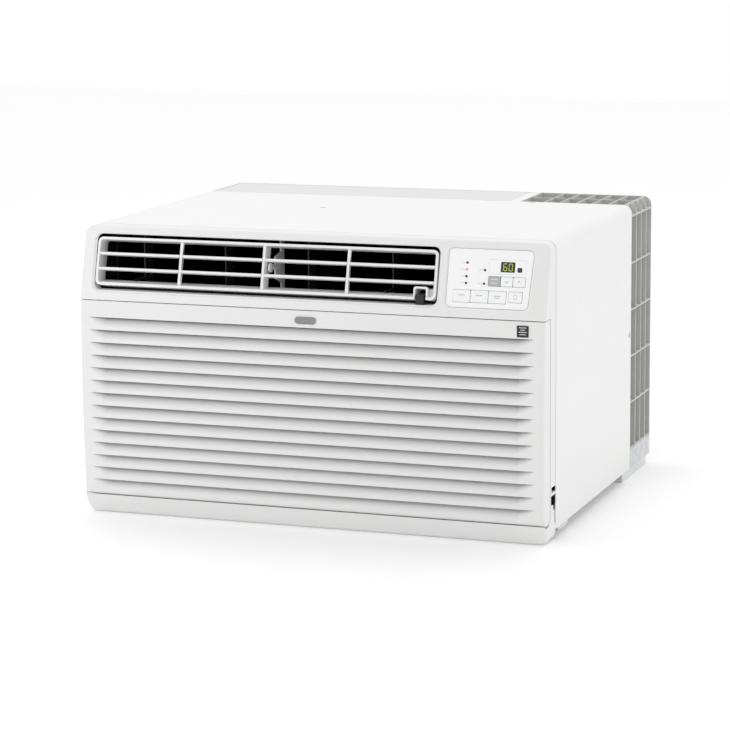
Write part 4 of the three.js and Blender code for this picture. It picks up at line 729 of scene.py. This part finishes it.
def face_path():
    """The grille's plan, left to right: (x, y, how open the slot is there) and the way out of it."""
    flank = HALF_WIDTH - 0.5 * MM
    half = [((flank, WRAP_Y, 0), (1, 0))]
    for k in range(7):
        a = math.pi / 2 * k / 6
        x = flank - FACE_ROUND * (1 - math.cos(a))
        y = FACE_Y + FACE_ROUND * (1 - math.sin(a))
        half.append(((x, y, 0), (math.cos(a), -math.sin(a))))
    start = HALF_WIDTH - SLOT_MARGIN
    for k in range(STEPS + 1):
        half.append(((start - TAPER * k / STEPS, FACE_Y, (k / STEPS) ** 0.6), (0, -1)))
    left = [((-x, y, s), (-u, v)) for (x, y, s), (u, v) in half]
    return left + half[::-1]


def skin_point(column, depth, z):
    (x, y, _), (u, v) = column
    return (x - u * depth, y - v * depth, z)


def louvre_strip(bm):
    """One louvre: an edge that overhangs the slot, then a face that comes forward as it goes down."""
    path = face_path()
    rows = []
    for j in range(STEPS + 1):
        outer, inner = [], []
        for column in path:
            share = column[0][2]
            closed = SLOT / PITCH * share
            z = LOUVRE_TOP - PITCH * (closed + (1 - closed) * j / STEPS)
            depth = SINK * max(0, share - 1.25 * j / STEPS) ** 1.5
            outer.append(bm.verts.new(skin_point(column, depth, z)))
            inner.append(bm.verts.new(skin_point(column, depth + SKIN, z)))
        rows.append((outer, inner))
    edge = [[bm.verts.new(skin_point(c, d, LOUVRE_TOP)) for c in path] for d in (0, SKIN)]
    rise = [path[k + 1][0][2] - path[k][0][2] for k in range(len(path) - 1)]
    for k, climb in enumerate(rise):
        for above, below in zip(rows, rows[1:]):
            for skin in (0, 1):
                a, b = above[skin][k], above[skin][k + 1]
                c, d = below[skin][k + 1], below[skin][k]
                if climb > 0:
                    bm.faces.new((a, b, c)), bm.faces.new((a, c, d))
                elif climb < 0:
                    bm.faces.new((a, b, d)), bm.faces.new((b, c, d))
                else:
                    bm.faces.new((a, b, c, d))
        if path[k][0][2] or path[k + 1][0][2]:
            for outer, inner in (rows[0], edge):
                bm.faces.new((outer[k], outer[k + 1], inner[k + 1], inner[k]))
    for k in (0, -1):
        for (outer, inner), (outer_below, inner_below) in zip(rows, rows[1:]):
            bm.faces.new((outer[k], inner[k], inner_below[k], outer_below[k]))


def plain_lands(bm):
    """The plain bands above the top louvre and below the last one."""
    path = face_path()
    for heights in ([HEAD_Z - (1 + 21 * k / 4) * MM for k in range(5)], [LOUVRE_FOOT, STRIP_Z]):
        rows = [[[bm.verts.new(skin_point(c, d, z)) for c in path] for d in (0, SKIN)] for z in heights]
        for above, below in zip(rows, rows[1:]):
            for skin in (0, 1):
                for k in range(len(path) - 1):
                    corners = above[skin][k], above[skin][k + 1], below[skin][k + 1], below[skin][k]
                    bm.faces.new(corners)
            for k in (0, -1):
                bm.faces.new((above[0][k], above[1][k], below[1][k], below[0][k]))
        outer, inner = rows[0] if heights[0] > LOUVRE_TOP else rows[-1]
        for k in range(len(path) - 1):
            bm.faces.new((outer[k], outer[k + 1], inner[k + 1], inner[k]))


def under_grille(bm):
    """Everything outside the foot of the grille, which is round about its hinge so that it can swing."""
    angles = [math.pi / 2 * k / 10 for k in range(11)]
    foot = [(FACE_Y - 0.02, HINGE_Z)]
    foot += [(HINGE_Y - HINGE_SWEEP * math.cos(a), HINGE_Z - HINGE_SWEEP * math.sin(a)) for a in angles]
    foot += [(HINGE_Y + 5 * MM, HINGE_Z - HINGE_SWEEP), (WRAP_Y, HINGE_Z - 1 * MM)]
    foot += [(WRAP_Y + 0.02, HINGE_Z - 1 * MM), (WRAP_Y + 0.02, 0), (FACE_Y - 0.02, 0)]
    prism(bm, foot, -0.4, 0.4, ALONG_X)


def hinge_pins(bm):
    pin = [(0, 0), (1.6 * MM, 0), (1.8 * MM, 0.3 * MM), (1.8 * MM, 13 * MM), (0, 13 * MM)]
    for x in (-HALF_WIDTH + 1.5 * MM, HALF_WIDTH - 14.5 * MM):
        lathe(bm, pin, (x, HINGE_Y, HINGE_Z), "X", 16)


grille = solids("grille_louvres", louvre_strip)
lands = solids("lands", plain_lands)
bowing = {"Count": LOUVRES, "Pitch": PITCH, "Lands": lands, "Bow": BOW, "Foot": STRIP_Z, "Crown": HEAD_Z}
apply_tree(grille, bowed_louvre_tree(), bowing | {"Front": FACE_Y, "Rear": WRAP_Y, "Material": casing_white})
bpy.data.objects.remove(lands)


def face_outward(piece):
    bm = bmesh.new()
    bm.from_mesh(piece.data)
    bmesh.ops.dissolve_degenerate(bm, dist=0.001 * MM, edges=bm.edges)
    bmesh.ops.recalc_face_normals(bm, faces=bm.faces)
    bm.to_mesh(piece.data)
    bm.free()


face_outward(grille)
cut(grille, under_grille)
join(grille, hinge_pins)
shade(grille, 24)
dress(grille, "grille", "casing_plastic", casing_white, "inlet_grille")


# ---------- Air outlet ----------

LOUVRE_X0 = OUTLET_X0 + 1.8 * MM
LOUVRE_X1 = OUTLET_X1 - 1.8 * MM
FRAME_RISE = 30.5 * MM
RIM = 3.5 * MM
BAY = (LOUVRE_X1 - LOUVRE_X0 - 2 * RIM) / 4


def louvre_outline(inset, radius):
    rise = FRAME_RISE - inset
    return rounded_box(LOUVRE_X0 + inset, LOUVRE_X1 - inset, -rise, rise, radius)


def round_vent(half, low, top, radius):
    """An upright outline about the vent knob, with its upper corners rounded."""
    corners = [(-half, low, 0), (half, low, 0), (half, top, radius), (-half, top, radius)]
    return rounded([(VENT_X + u * MM, v * MM, r * MM) for u, v, r in corners], 4)


def louvre_slats(bm):
    ends = (LOUVRE_X0 + 1 * MM, LOUVRE_X1 - 1 * MM)
    for v in (-9.57 * MM, 9.57 * MM):
        block(bm, *ends, v - 1.7 * MM, v + 1.7 * MM, -4 * MM, 10.4 * MM, IN_LOUVRE)
    for i in (1, 2, 3):
        x = LOUVRE_X0 + RIM + BAY * i
        back = -6 * MM if i == 2 else 6.5 * MM
        block(bm, x - 2 * MM, x + 2 * MM, -28 * MM, 28 * MM, back, 10.7 * MM, IN_LOUVRE)
    prism(bm, round_vent(9.2, -30, -14.6, 3), -9 * MM, 10.8 * MM, IN_LOUVRE)


def louvre_sill(bm):
    """The level floor inside the grid's lower edge, and the shoulder beside the vent knob."""
    low, front, rear = -27.4 * MM, 9.5 * MM, -10.6 * MM
    sill = [(low, front), (low + 0.4 * MM, front), (low + 5.6 * MM, rear), (low, rear)]
    prism(bm, sill, LOUVRE_X0 + 3 * MM, VENT_X - 9 * MM, IN_LOUVRE @ ALONG_X)
    shoulder = [(low, 4 * MM), (-17 * MM, 4 * MM), (-14 * MM, -8 * MM), (low, -8 * MM)]
    prism(bm, shoulder, VENT_X + 9 * MM, LOUVRE_X1 - 3 * MM, IN_LOUVRE @ ALONG_X)


def louvre_pins(bm):
    for x in (LOUVRE_X0 - 1.4 * MM, LOUVRE_X1 - 0.6 * MM):
        lathe(bm, [(0, 0), (3 * MM, 0), (3 * MM, 2 * MM), (0, 2 * MM)], (x, LOUVRE_Y, LOUVRE_Z), "X", 20)


louvre = solids("louvre_grid", slab(louvre_outline(0, 7 * MM), -11 * MM, 11 * MM, IN_LOUVRE))
cut(louvre, slab(louvre_outline(RIM, 4 * MM), -0.02, 0.02, IN_LOUVRE))
join(louvre, louvre_slats)
cut(louvre, slab(round_vent(6.8, -35.5, -17.2, 2), -0.02, 0.02, IN_LOUVRE))
join(louvre, louvre_pins)
soften(louvre, 0.6 * MM, 2, 38)
dress(louvre, "louvre", "casing_plastic", louvre_white, "louvre_frame")
dress(solids("louvre_sill", louvre_sill), "louvre", "casing_plastic", louvre_white)


# ---------- Controls ----------


def climb(z):
    """A height above the foot of the head, measured along its face."""
    return z * MM / math.cos(LEAN)


def from_right(distance):
    return HALF_WIDTH - distance * MM


DISPLAY = (from_right(60.5), from_right(42.7), climb(55), climb(67))
EYE = (from_right(39.7), from_right(33.6), climb(55.3), climb(60.8))
UPPER_ROW = (from_right(75), from_right(28.5), climb(38.2), climb(49.8))
LOWER_ROW = (from_right(118), from_right(51), climb(18.2), climb(33))
POWER = (from_right(48.2), from_right(31), climb(20), climb(32.9))
LAMP_PITCH = 8.2 * MM
LAMPS = [(from_right(102.6), climb(64.6) - i * LAMP_PITCH) for i in range(4)]
LAMPS += [(from_right(80), LAMPS[1][1]), (from_right(80), LAMPS[3][1])]
KEYS = {
    "energy_saver": (UPPER_ROW, 0, 0.335),
    "temp_down": (UPPER_ROW, 0.335, 0.665),
    "temp_up": (UPPER_ROW, 0.665, 1),
    "mode": (LOWER_ROW, 0, 0.33),
    "timer": (LOWER_ROW, 0.33, 0.665),
    "fan_speed": (LOWER_ROW, 0.665, 1),
    "power": (POWER, 0, 1),
}
PANEL_FRONT = -PANEL_RECESS
KEY_FRONT = PANEL_FRONT + 0.5 * MM
PRINT = 0.06 * MM


def opening(place, grow):
    x0, x1, v0, v1 = place
    return rounded_box(x0 - grow, x1 + grow, v0 - grow, v1 + grow, 1 * MM + grow, 4)


def panel_openings(bm):
    """Straight holes for the keys, the windows and the lamps, each with a fine chamfer."""
    edge = 0.3 * MM
    steps = (0, 0.02 * MM, edge)
    outlines = [[opening(p, d) for d in steps] for p in (DISPLAY, EYE, UPPER_ROW, LOWER_ROW, POWER)]
    outlines += [[disc(*p, 1.5 * MM + d) for d in steps] for p in LAMPS]
    for straight, narrow, wide in outlines:
        prism(bm, straight, PANEL_FRONT - 5 * MM, PANEL_FRONT + 1 * MM, ON_HEAD)
        prism(bm, narrow, PANEL_FRONT - 0.28 * MM, PANEL_FRONT + 0.02 * MM, ON_HEAD, wide)


panel = solids("control_panel_face", slab(panel_outline(0), PANEL_FRONT - 3 * MM, PANEL_FRONT, ON_HEAD))
cut(panel, panel_openings)
shade(panel, 30)
dress(panel, "chassis", "panel_gloss", panel_white, "control_panel")

for name in ("display_window", "remote_eye"):
    refined(name, name + "_glass", "chassis", "dark_window", window_black, 0.2 * MM)


def key_place(name):
    (x0, x1, v0, v1), start, end = KEYS[name]
    gap, span = 0.3 * MM, x1 - x0
    return x0 + span * start + gap, x0 + span * end - gap, v0 + gap, v1 - gap


def key_cap(name):
    """A cap with a softly rounded edge, on its stem."""
    left, right, low, high = key_place(name)
    cap = rounded_box(left, right, low, high, 1.2 * MM, 5)
    stem = disc((left + right) / 2, (low + high) / 2, 1.5 * MM)
    piece = solids(name + "_key", slab(cap, KEY_FRONT - 4.2 * MM, KEY_FRONT, ON_HEAD))
    join(piece, slab(stem, KEY_FRONT - 7 * MM, KEY_FRONT - 4 * MM, ON_HEAD))
    soften(piece, 0.45 * MM, 3, 38)
    slot, material = ("key_grey", key_grey) if name == "energy_saver" else ("key_white", key_white)
    dress(piece, "key_" + name, slot, material, "button_" + name)


for name in KEYS:
    key_cap(name)


def printed(name, body, slot, material, marks, depth=KEY_FRONT):
    """Thin printed marks, each an outline lying on a face of the head."""

    def build(bm):
        for outline in marks:
            prism(bm, outline, depth - PRINT, depth + PRINT, ON_HEAD)

    return dress(solids(name, build), body, slot, material)


def bar(x, v, width, thickness=0.75):
    half, thin = width / 2 * MM, thickness / 2 * MM
    return [(x - half, v - thin), (x + half, v - thin), (x + half, v + thin), (x - half, v + thin)]


def ring_halves(x, v, radius, width, gap=0.35):
    """A ring in two open halves, as outlines."""
    halves = []
    for start in (gap / 2, math.pi + gap / 2):
        angles = [start + (math.pi - gap) * k / 14 for k in range(15)]
        outer = [(x + radius * math.cos(a), v + radius * math.sin(a)) for a in angles]
        inner = [(x + (radius - width) * math.cos(a), v + (radius - width) * math.sin(a)) for a in angles]
        halves.append(outer + inner[::-1])
    return halves


def chevron(x, v, size, up):
    s = size * MM * (1 if up else -1)
    return [(x - size * MM, v), (x, v + s), (x + size * MM, v), (x, v + s * 0.45)]


for name in KEYS:
    left, right, low, high = key_place(name)
    x, v = (left + right) / 2, (low + high) / 2
    if name in ("temp_down", "temp_up"):
        up = name == "temp_up"
        marks = [chevron(x, v + (-0.9 if up else 0.9) * MM, 2.8, up)]
    elif name == "power":
        marks = ring_halves(x, v, 2.6 * MM, 0.5 * MM)
    elif name == "energy_saver":
        marks = [bar(x, v + 2.3 * MM, 8.6), bar(x, v - 2.3 * MM, 7.0)]
    else:
        marks = [bar(x, v + 1.1 * MM, 8.6, 0.9)]
        if name == "fan_speed":
            marks.append(bar(x, v - 1.1 * MM, 5.6, 0.9))
    ink, slot = (print_white, "key_grey") if name == "energy_saver" else (print_grey, "key_white")
    printed(name + "_mark", "key_" + name, slot, ink, marks)

widths = (4, 5.4, 4, 4.6, 5, 5)
labels = [bar(x - (2.6 + width / 2) * MM, v, width, 0.8) for (x, v), width in zip(LAMPS, widths)]
printed("panel_labels", "chassis", "panel_gloss", print_pale, labels, PANEL_FRONT)


def around_display(inset):
    x = (from_right(75) + inset, from_right(29) - inset)
    return rounded_box(*x, climb(52.5) + inset, climb(69.5) - inset, 1.5 * MM - inset, 5)


border = printed("display_border", "chassis", "panel_gloss", print_pale, [around_display(0)], PANEL_FRONT)
cut(border, slab(around_display(0.4 * MM), -0.01, 0.01, ON_HEAD))


def segment(x, v, long, thick, upright):
    half, tip = long / 2, thick / 2
    flat = half - tip
    points = [(-half, 0), (-flat, tip), (flat, tip), (half, 0), (flat, -tip), (-flat, -tip)]
    return [(x + (q if upright else p), v + (p if upright else q)) for p, q in points]


def digit(x, v, lit):
    """A seven-segment digit. lit names the bars: top, middle and bottom, then the four uprights."""
    long = 4.1 * MM
    bars = {
        "t": (0, long, False),
        "m": (0, 0, False),
        "b": (0, -long, False),
        "ul": (-long / 2, long / 2, True),
        "ur": (long / 2, long / 2, True),
        "ll": (-long / 2, -long / 2, True),
        "lr": (long / 2, -long / 2, True),
    }
    chosen = (bars[name] for name in lit.split())
    return [segment(x + dx, v + dv, long - 0.2 * MM, 0.75 * MM, upright) for dx, dv, upright in chosen]


middle_x = (DISPLAY[0] + DISPLAY[1]) / 2
middle_v = (DISPLAY[2] + DISPLAY[3]) / 2
six = digit(middle_x - 3.4 * MM, middle_v, "t m b ul ll lr")
zero = digit(middle_x + 3.4 * MM, middle_v, "t b ul ur ll lr")
printed("display_digits", "chassis", "dark_window", digit_glow, six + zero, -PANEL_RECESS - 0.3 * MM)


def lenses(name, spots, material, *replaced):
    def build(bm):
        for spot in spots:
            depths = (PANEL_FRONT - 2 * MM, PANEL_FRONT + 0.25 * MM)
            prism(bm, disc(*spot, 1.2 * MM), *depths, ON_HEAD, disc(*spot, 0.9 * MM))

    piece = solids(name, build)
    soften(piece, 0)
    dress(piece, "chassis", "lamp_lens", material, *replaced)


lenses("indicator_lenses", LAMPS[:1] + LAMPS[2:], lens_dark, "indicator_lamps")
lenses("lit_lens", LAMPS[1:2], lamp_glow)


# ---------- Cabinet ----------

SHEET = 1.5 * MM
SHEET_FRONT = cabinet_low.y + 0.8 * MM


def arched_sheet(outer, inner, foot, y0, y1):
    """What builds a sheet bent over the case, between two insets from its outside."""

    def arch(inset):
        x, top, radius = HALF_WIDTH - inset, HEIGHT - inset, CORNER - inset
        return rounded([(-x, foot, 0), (-x, top, radius), (x, top, radius), (x, foot, 0)], 10)

    return slab(arch(outer) + arch(inner)[::-1], y0, y1, ALONG_Y)


def press_marks(bm):
    """Shallow knock-outs and dimples pressed into the sides and the top."""
    deep = 0.5 * MM

    def mark(u, v, width, height, radius):
        """A rounded outline about a point, with its size in mm."""
        across, up = width / 2 * MM, height / 2 * MM
        return rounded_box(u - across, u + across, v - up, v + up, radius * MM)

    def side(d, z, long, tall, radius):
        outline = mark(SEAM_Y + d * MM, z * MM, long, tall, radius)
        for a in (-HALF_WIDTH - deep, HALF_WIDTH - deep):
            prism(bm, outline, a, a + 2 * deep, ALONG_X)

    def top(x, d, wide, long, radius):
        outline = mark(x * MM, SEAM_Y + d * MM, wide, long, radius)
        prism(bm, outline, HEIGHT - 4 * deep, HEIGHT + deep)

    side(106, 279, 4.5, 9, 2.1)
    side(287.5, 271, 4.4, 4.4, 2.1)
    for z in (26.5, 19.3):
        side(65, z, 2.4, 2.4, 1.1)
    top(-183, 353.5, 18, 2.4, 1.1)
    top(110, 353.5, 17, 2.4, 1.1)
    for length, low, high in CORD_NOTCH[:2]:
        y = (SEAM_Y - 1 * MM, SEAM_Y + 2.4 * MM)
        block(bm, HALF_WIDTH - 0.01, HALF_WIDTH + 0.01, *y, low * MM, high * MM)


def middle(node):
    low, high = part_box(node)
    return (low + high) / 2


top_screw, next_screw, side_screw = (middle(n) for n in ("top_screw_1", "top_screw_2", "side_screw_right"))


def screw_holes(bm):
    for place in (top_screw, next_screw):
        prism(bm, disc(*place.xy, 4.3 * MM, 28), HEIGHT - 0.01, HEIGHT + 0.01)
    prism(bm, disc(*side_screw.yz, 4.3 * MM, 28), -0.4, 0.4, ALONG_X)


bent = arched_sheet(0, SHEET, cabinet_low.z, SHEET_FRONT, cabinet_high.y)
cabinet = solids("cabinet_sheet", bent)
cut(cabinet, press_marks)
cut(cabinet, screw_holes)
soften(cabinet, 0.3 * MM, 2, 38)
dress(cabinet, "chassis", "cabinet_paint", cabinet_white, "cabinet")


def screw(bm, x, y, top, axis="Z"):
    """A pan head with a flat washer face and a plain pointed shank under it."""
    head = [(0, -9 * MM), (1.6 * MM, -8 * MM), (2 * MM, -7 * MM), (2 * MM, -1.9 * MM), (4 * MM, -1.8 * MM)]
    head += [(4 * MM, -1.0 * MM), (3.6 * MM, -0.6 * MM), (2.4 * MM, -0.25 * MM), (0, -0.2 * MM)]
    lathe(bm, head, (x, y, top), axis, 28)


def recess(x, y, top, place):
    """The crossed slots in a screw's head."""

    def build(bm):
        for long, wide in ((2.3 * MM, 0.45 * MM), (0.45 * MM, 2.3 * MM)):
            block(bm, x - long, x + long, y - wide, y + wide, top - 1.4 * MM, top + 1 * MM, place)

    return build


top_screws = solids("top_screws", lambda bm: screw(bm, *top_screw.xy, HEIGHT))
cut(top_screws, recess(*top_screw.xy, HEIGHT, ALONG_Z))
spacing = (*(next_screw - top_screw).xy, 0.0)
apply_tree(top_screws, ROW, {"Count": 2, "Spacing": spacing, "Material": zinc_bright})
shade(top_screws)
dress(top_screws, "chassis", "zinc", zinc_bright, "top_screw_1", "top_screw_2")

side_screws = solids("side_screws", lambda bm: screw(bm, HALF_WIDTH, 0, 0, "X"))
cut(side_screws, recess(0, 0, HALF_WIDTH, ALONG_X))
apply_tree(side_screws, RING, {"Count": 2, "Centre": (0, *side_screw.yz), "Material": zinc_bright})
shade(side_screws)
dress(side_screws, "chassis", "zinc", zinc_bright, "side_screw_left", "side_screw_right")


# A dark strip of painted shade behind the seam between the plastic front and the cabinet, with a dark rib in
# the seam as a painted shadow line; it stands for the shade in the gap, not for a real seal.
seam_shade_backing = arched_sheet(3.1 * MM, 5 * MM, 0.1, SEAM_Y - 4 * MM, SEAM_Y + 4 * MM)
seam_shade = solids("seam_seal", seam_shade_backing)
join(seam_shade, arched_sheet(0.1 * MM, 3.4 * MM, 0.07, SEAM_Y + 0.04 * MM, SHEET_FRONT - 0.04 * MM))
shade(seam_shade)
dress(seam_shade, "chassis", "rubber", seal_rubber)


# ---------- Pieces softened from the frame ----------

# What each group of pieces rides on and is made of, and how far each piece's edges are rounded, in mm.
REFINED = [
    ("chassis", "casing_plastic", louvre_white, {"centre_post": 0.5}),
    ("chassis", "black_plastic", matt_black, {"outlet_duct": 0.4, "drip_tray": 0.4, "cord_clamp": 0.4}),
    ("link_left", "black_plastic", vane_black, {"vane_link_left": 0.3}),
    ("link_right", "black_plastic", vane_black, {"vane_link_right": 0.3}),
    ("vent", "black_plastic", vane_black, {"vent_lever": 0.3}),
    ("flap", "black_plastic", matt_black, {"vent_flap": 0.3}),
    ("grille", "filter_plastic", filter_grey, {"filter_frame": 0.4}),
    ("grille", "filter_net", filter_net, {"filter_mesh": 0}),
    ("grille", "badge_grey", badge_silver, {"badge_plate": 0.25}),
    ("grille", "sticker", sticker_black, {"efficiency_sticker": 0}),
    ("chassis", "board", board_lacquer, {"control_board": 0.15}),
    ("chassis", "cabinet_paint", cabinet_white, {"top_brace": 0.5}),
    ("chassis", "galvanised", pan_grey, {"base_pan": 0.4}),
    ("chassis", "galvanised", zinc_sheet, {"rear_rail": 0.35, "bulkhead": 0.3, "fan_shroud": 0.3}),
    ("chassis", "galvanised", zinc_sheet, {"motor_bracket": 0.4, "control_box": 0.4}),
    ("chassis", "rubber", seal_rubber, {"drain_plug": 0.4, "compressor_mount": 0.5}),
    ("chassis", "cage_plastic", cage_grey, {"rear_cage": 0.3}),
    ("chassis", "plate_plastic", plate_grey, {"rear_top_plate": 0.5}),
    ("chassis", "fins", bare_fins, {"evaporator_coil": 0.2, "condenser_coil": 0.2}),
    ("chassis", "insulation", foam_black, {"blower_housing": 0.8}),
    ("fan", "black_plastic", matt_black, {"blower_wheel": 0.2}),
    ("fan", "fan_plastic", fan_grey, {"condenser_fan": 0.3}),
    ("fan", "zinc", zinc_bright, {"fan_shaft": 0.3}),
    ("chassis", "motor_steel", can_metal, {"fan_motor": 0.8}),
    ("chassis", "capacitor_can", can_metal, {"run_capacitor": 0.5}),
    ("chassis", "compressor_paint", enamel_black, {"compressor": 0.8, "accumulator": 0.5}),
    ("chassis", "copper", copper_tube, {"suction_line": 0, "discharge_line": 0, "capillary_tube": 0}),
]
REFINED += [("vane_" + "abcd"[i], "black_plastic", vane_black, {f"vane_{i + 1}": 0.4}) for i in range(4)]
for body, slot, material, widths in REFINED:
    for node, width in widths.items():
        refined(node, node + "_finished", body, slot, material, width * MM)


# ---------- Repeats over the works ----------


def coil_fins(node, name):
    """Thin fins standing a little proud of the coil's block, clear of its end plates."""
    low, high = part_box(node)
    start, end = low.x + 18 * MM, high.x - 18 * MM
    pitch = 2.2 * MM
    proud = 0.5 * MM

    def fin(bm):
        y = (low.y - proud, high.y + proud)
        block(bm, start, start + 0.25 * MM, *y, low.z + 4 * MM, high.z - 4 * MM)

    count = int((end - start) / pitch)
    fins = row(name, fin, count, (pitch, 0.0, 0.0), bare_fins)
    dress(fins, "chassis", "fins", bare_fins)


coil_fins("evaporator_coil", "evaporator_fins")
coil_fins("condenser_coil", "condenser_fins")


def knob_rib(bm):
    x, y = VENT_X - 3.6 * MM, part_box("vent_lever")[0].y
    z = (OUTLET_Z0 + 1.8 * MM, OUTLET_Z0 + 11.4 * MM)
    block(bm, x - 0.45 * MM, x + 0.45 * MM, y - 0.35 * MM, y + 1 * MM, *z)


ribs = row("knob_ribs", knob_rib, 5, (1.8 * MM, 0.0, 0.0), vane_black)
dress(ribs, "vent", "black_plastic", vane_black)


def sticker_bars(bm):
    """Plain pale bars across the dark sticker."""
    low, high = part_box("efficiency_sticker")
    x, y = (low.x + high.x) / 2, low.y
    for rise, width in ((11.6, 9), (8.9, 6), (6.2, 10), (3.4, 8)):
        z, half = low.z + rise * MM, width / 2 * MM
        block(bm, x - half, x + half, y - 0.05 * MM, y + 0.15 * MM, z - 0.45 * MM, z + 0.45 * MM)


dress(solids("sticker_marks", sticker_bars), "grille", "sticker", print_pale)


# ---------- Floor, light and camera ----------

floor_mesh = bpy.data.meshes.new("floor")
floor_mesh.from_pydata([(-6, -6, 0), (6, -6, 0), (6, 6, 0), (-6, 6, 0)], [], [(0, 1, 2, 3)])
floor = bpy.data.objects.new("floor", floor_mesh)
scene.collection.objects.link(floor)
pale_floor = coated("pale_floor", (0.97, 0.97, 0.97), 0.6, (120, 0.02, 0.3), 0.02, emission_strength=0.07)
floor.data.materials.append(pale_floor)

world = bpy.data.worlds.new("studio")
world.use_nodes = True
sky = Nodes(world.node_tree)
toward = sky.node("ShaderNodeSeparateXYZ", {0: sky.node("ShaderNodeTexCoord").outputs["Generated"]})
# The white surround is a little weaker on the side the front faces.
fade = {"Value": toward.outputs["Y"], "From Min": -0.9, "From Max": 0.2, "To Min": 0.75, "To Max": 1.0}
surround = world.node_tree.nodes["Background"]
surround.inputs["Color"].default_value = (1.0, 1.0, 1.0, 1.0)
world.node_tree.links.new(sky.node("ShaderNodeMapRange", fade).outputs[0], surround.inputs["Strength"])
scene.world = world


def soft_light(name, place, size, power, target=(0, 0, 0.18)):
    lamp = bpy.data.lights.new(name, "AREA")
    lamp.shape = "DISK"
    lamp.size = size
    lamp.energy = power
    holder = bpy.data.objects.new(name, lamp)
    holder.location = place
    holder.rotation_euler = (Vector(target) - Vector(place)).to_track_quat("-Z", "Y").to_euler()
    scene.collection.objects.link(holder)


soft_light("top_softbox", (0.1, 0.2, 2.6), 2.2, 10)
soft_light("front_left_softbox", (-1.0, -1.15, 0.7), 0.6, 2.5, (-0.2, -0.25, 0.2))
soft_light("right_softbox", (2.8, -0.6, 1.2), 1.6, 2.6)

camera = bpy.data.objects.new("camera", bpy.data.cameras.new("camera"))
camera.data.lens = 133.51
camera.data.sensor_width = 36.0
camera.data.clip_end = 50.0
yaw, pitch, roll = (math.radians(a) for a in (20.232, 10.405, -0.581))
back = Vector((math.sin(yaw) * math.cos(pitch), -math.cos(yaw) * math.cos(pitch), math.sin(pitch)))
right = (-back).cross(Vector((0, 0, 1))).normalized()
up = right.cross(-back)
right, up = (
    right * math.cos(roll) + up * math.sin(roll),
    up * math.cos(roll) - right * math.sin(roll),
)
pose = Matrix((right, up, back)).transposed().to_4x4()
pose.translation = (1.1968, -3.2900, 0.8065)
camera.matrix_world = pose
scene.collection.objects.link(camera)
scene.camera = camera
scene.view_settings.view_transform = "Standard"
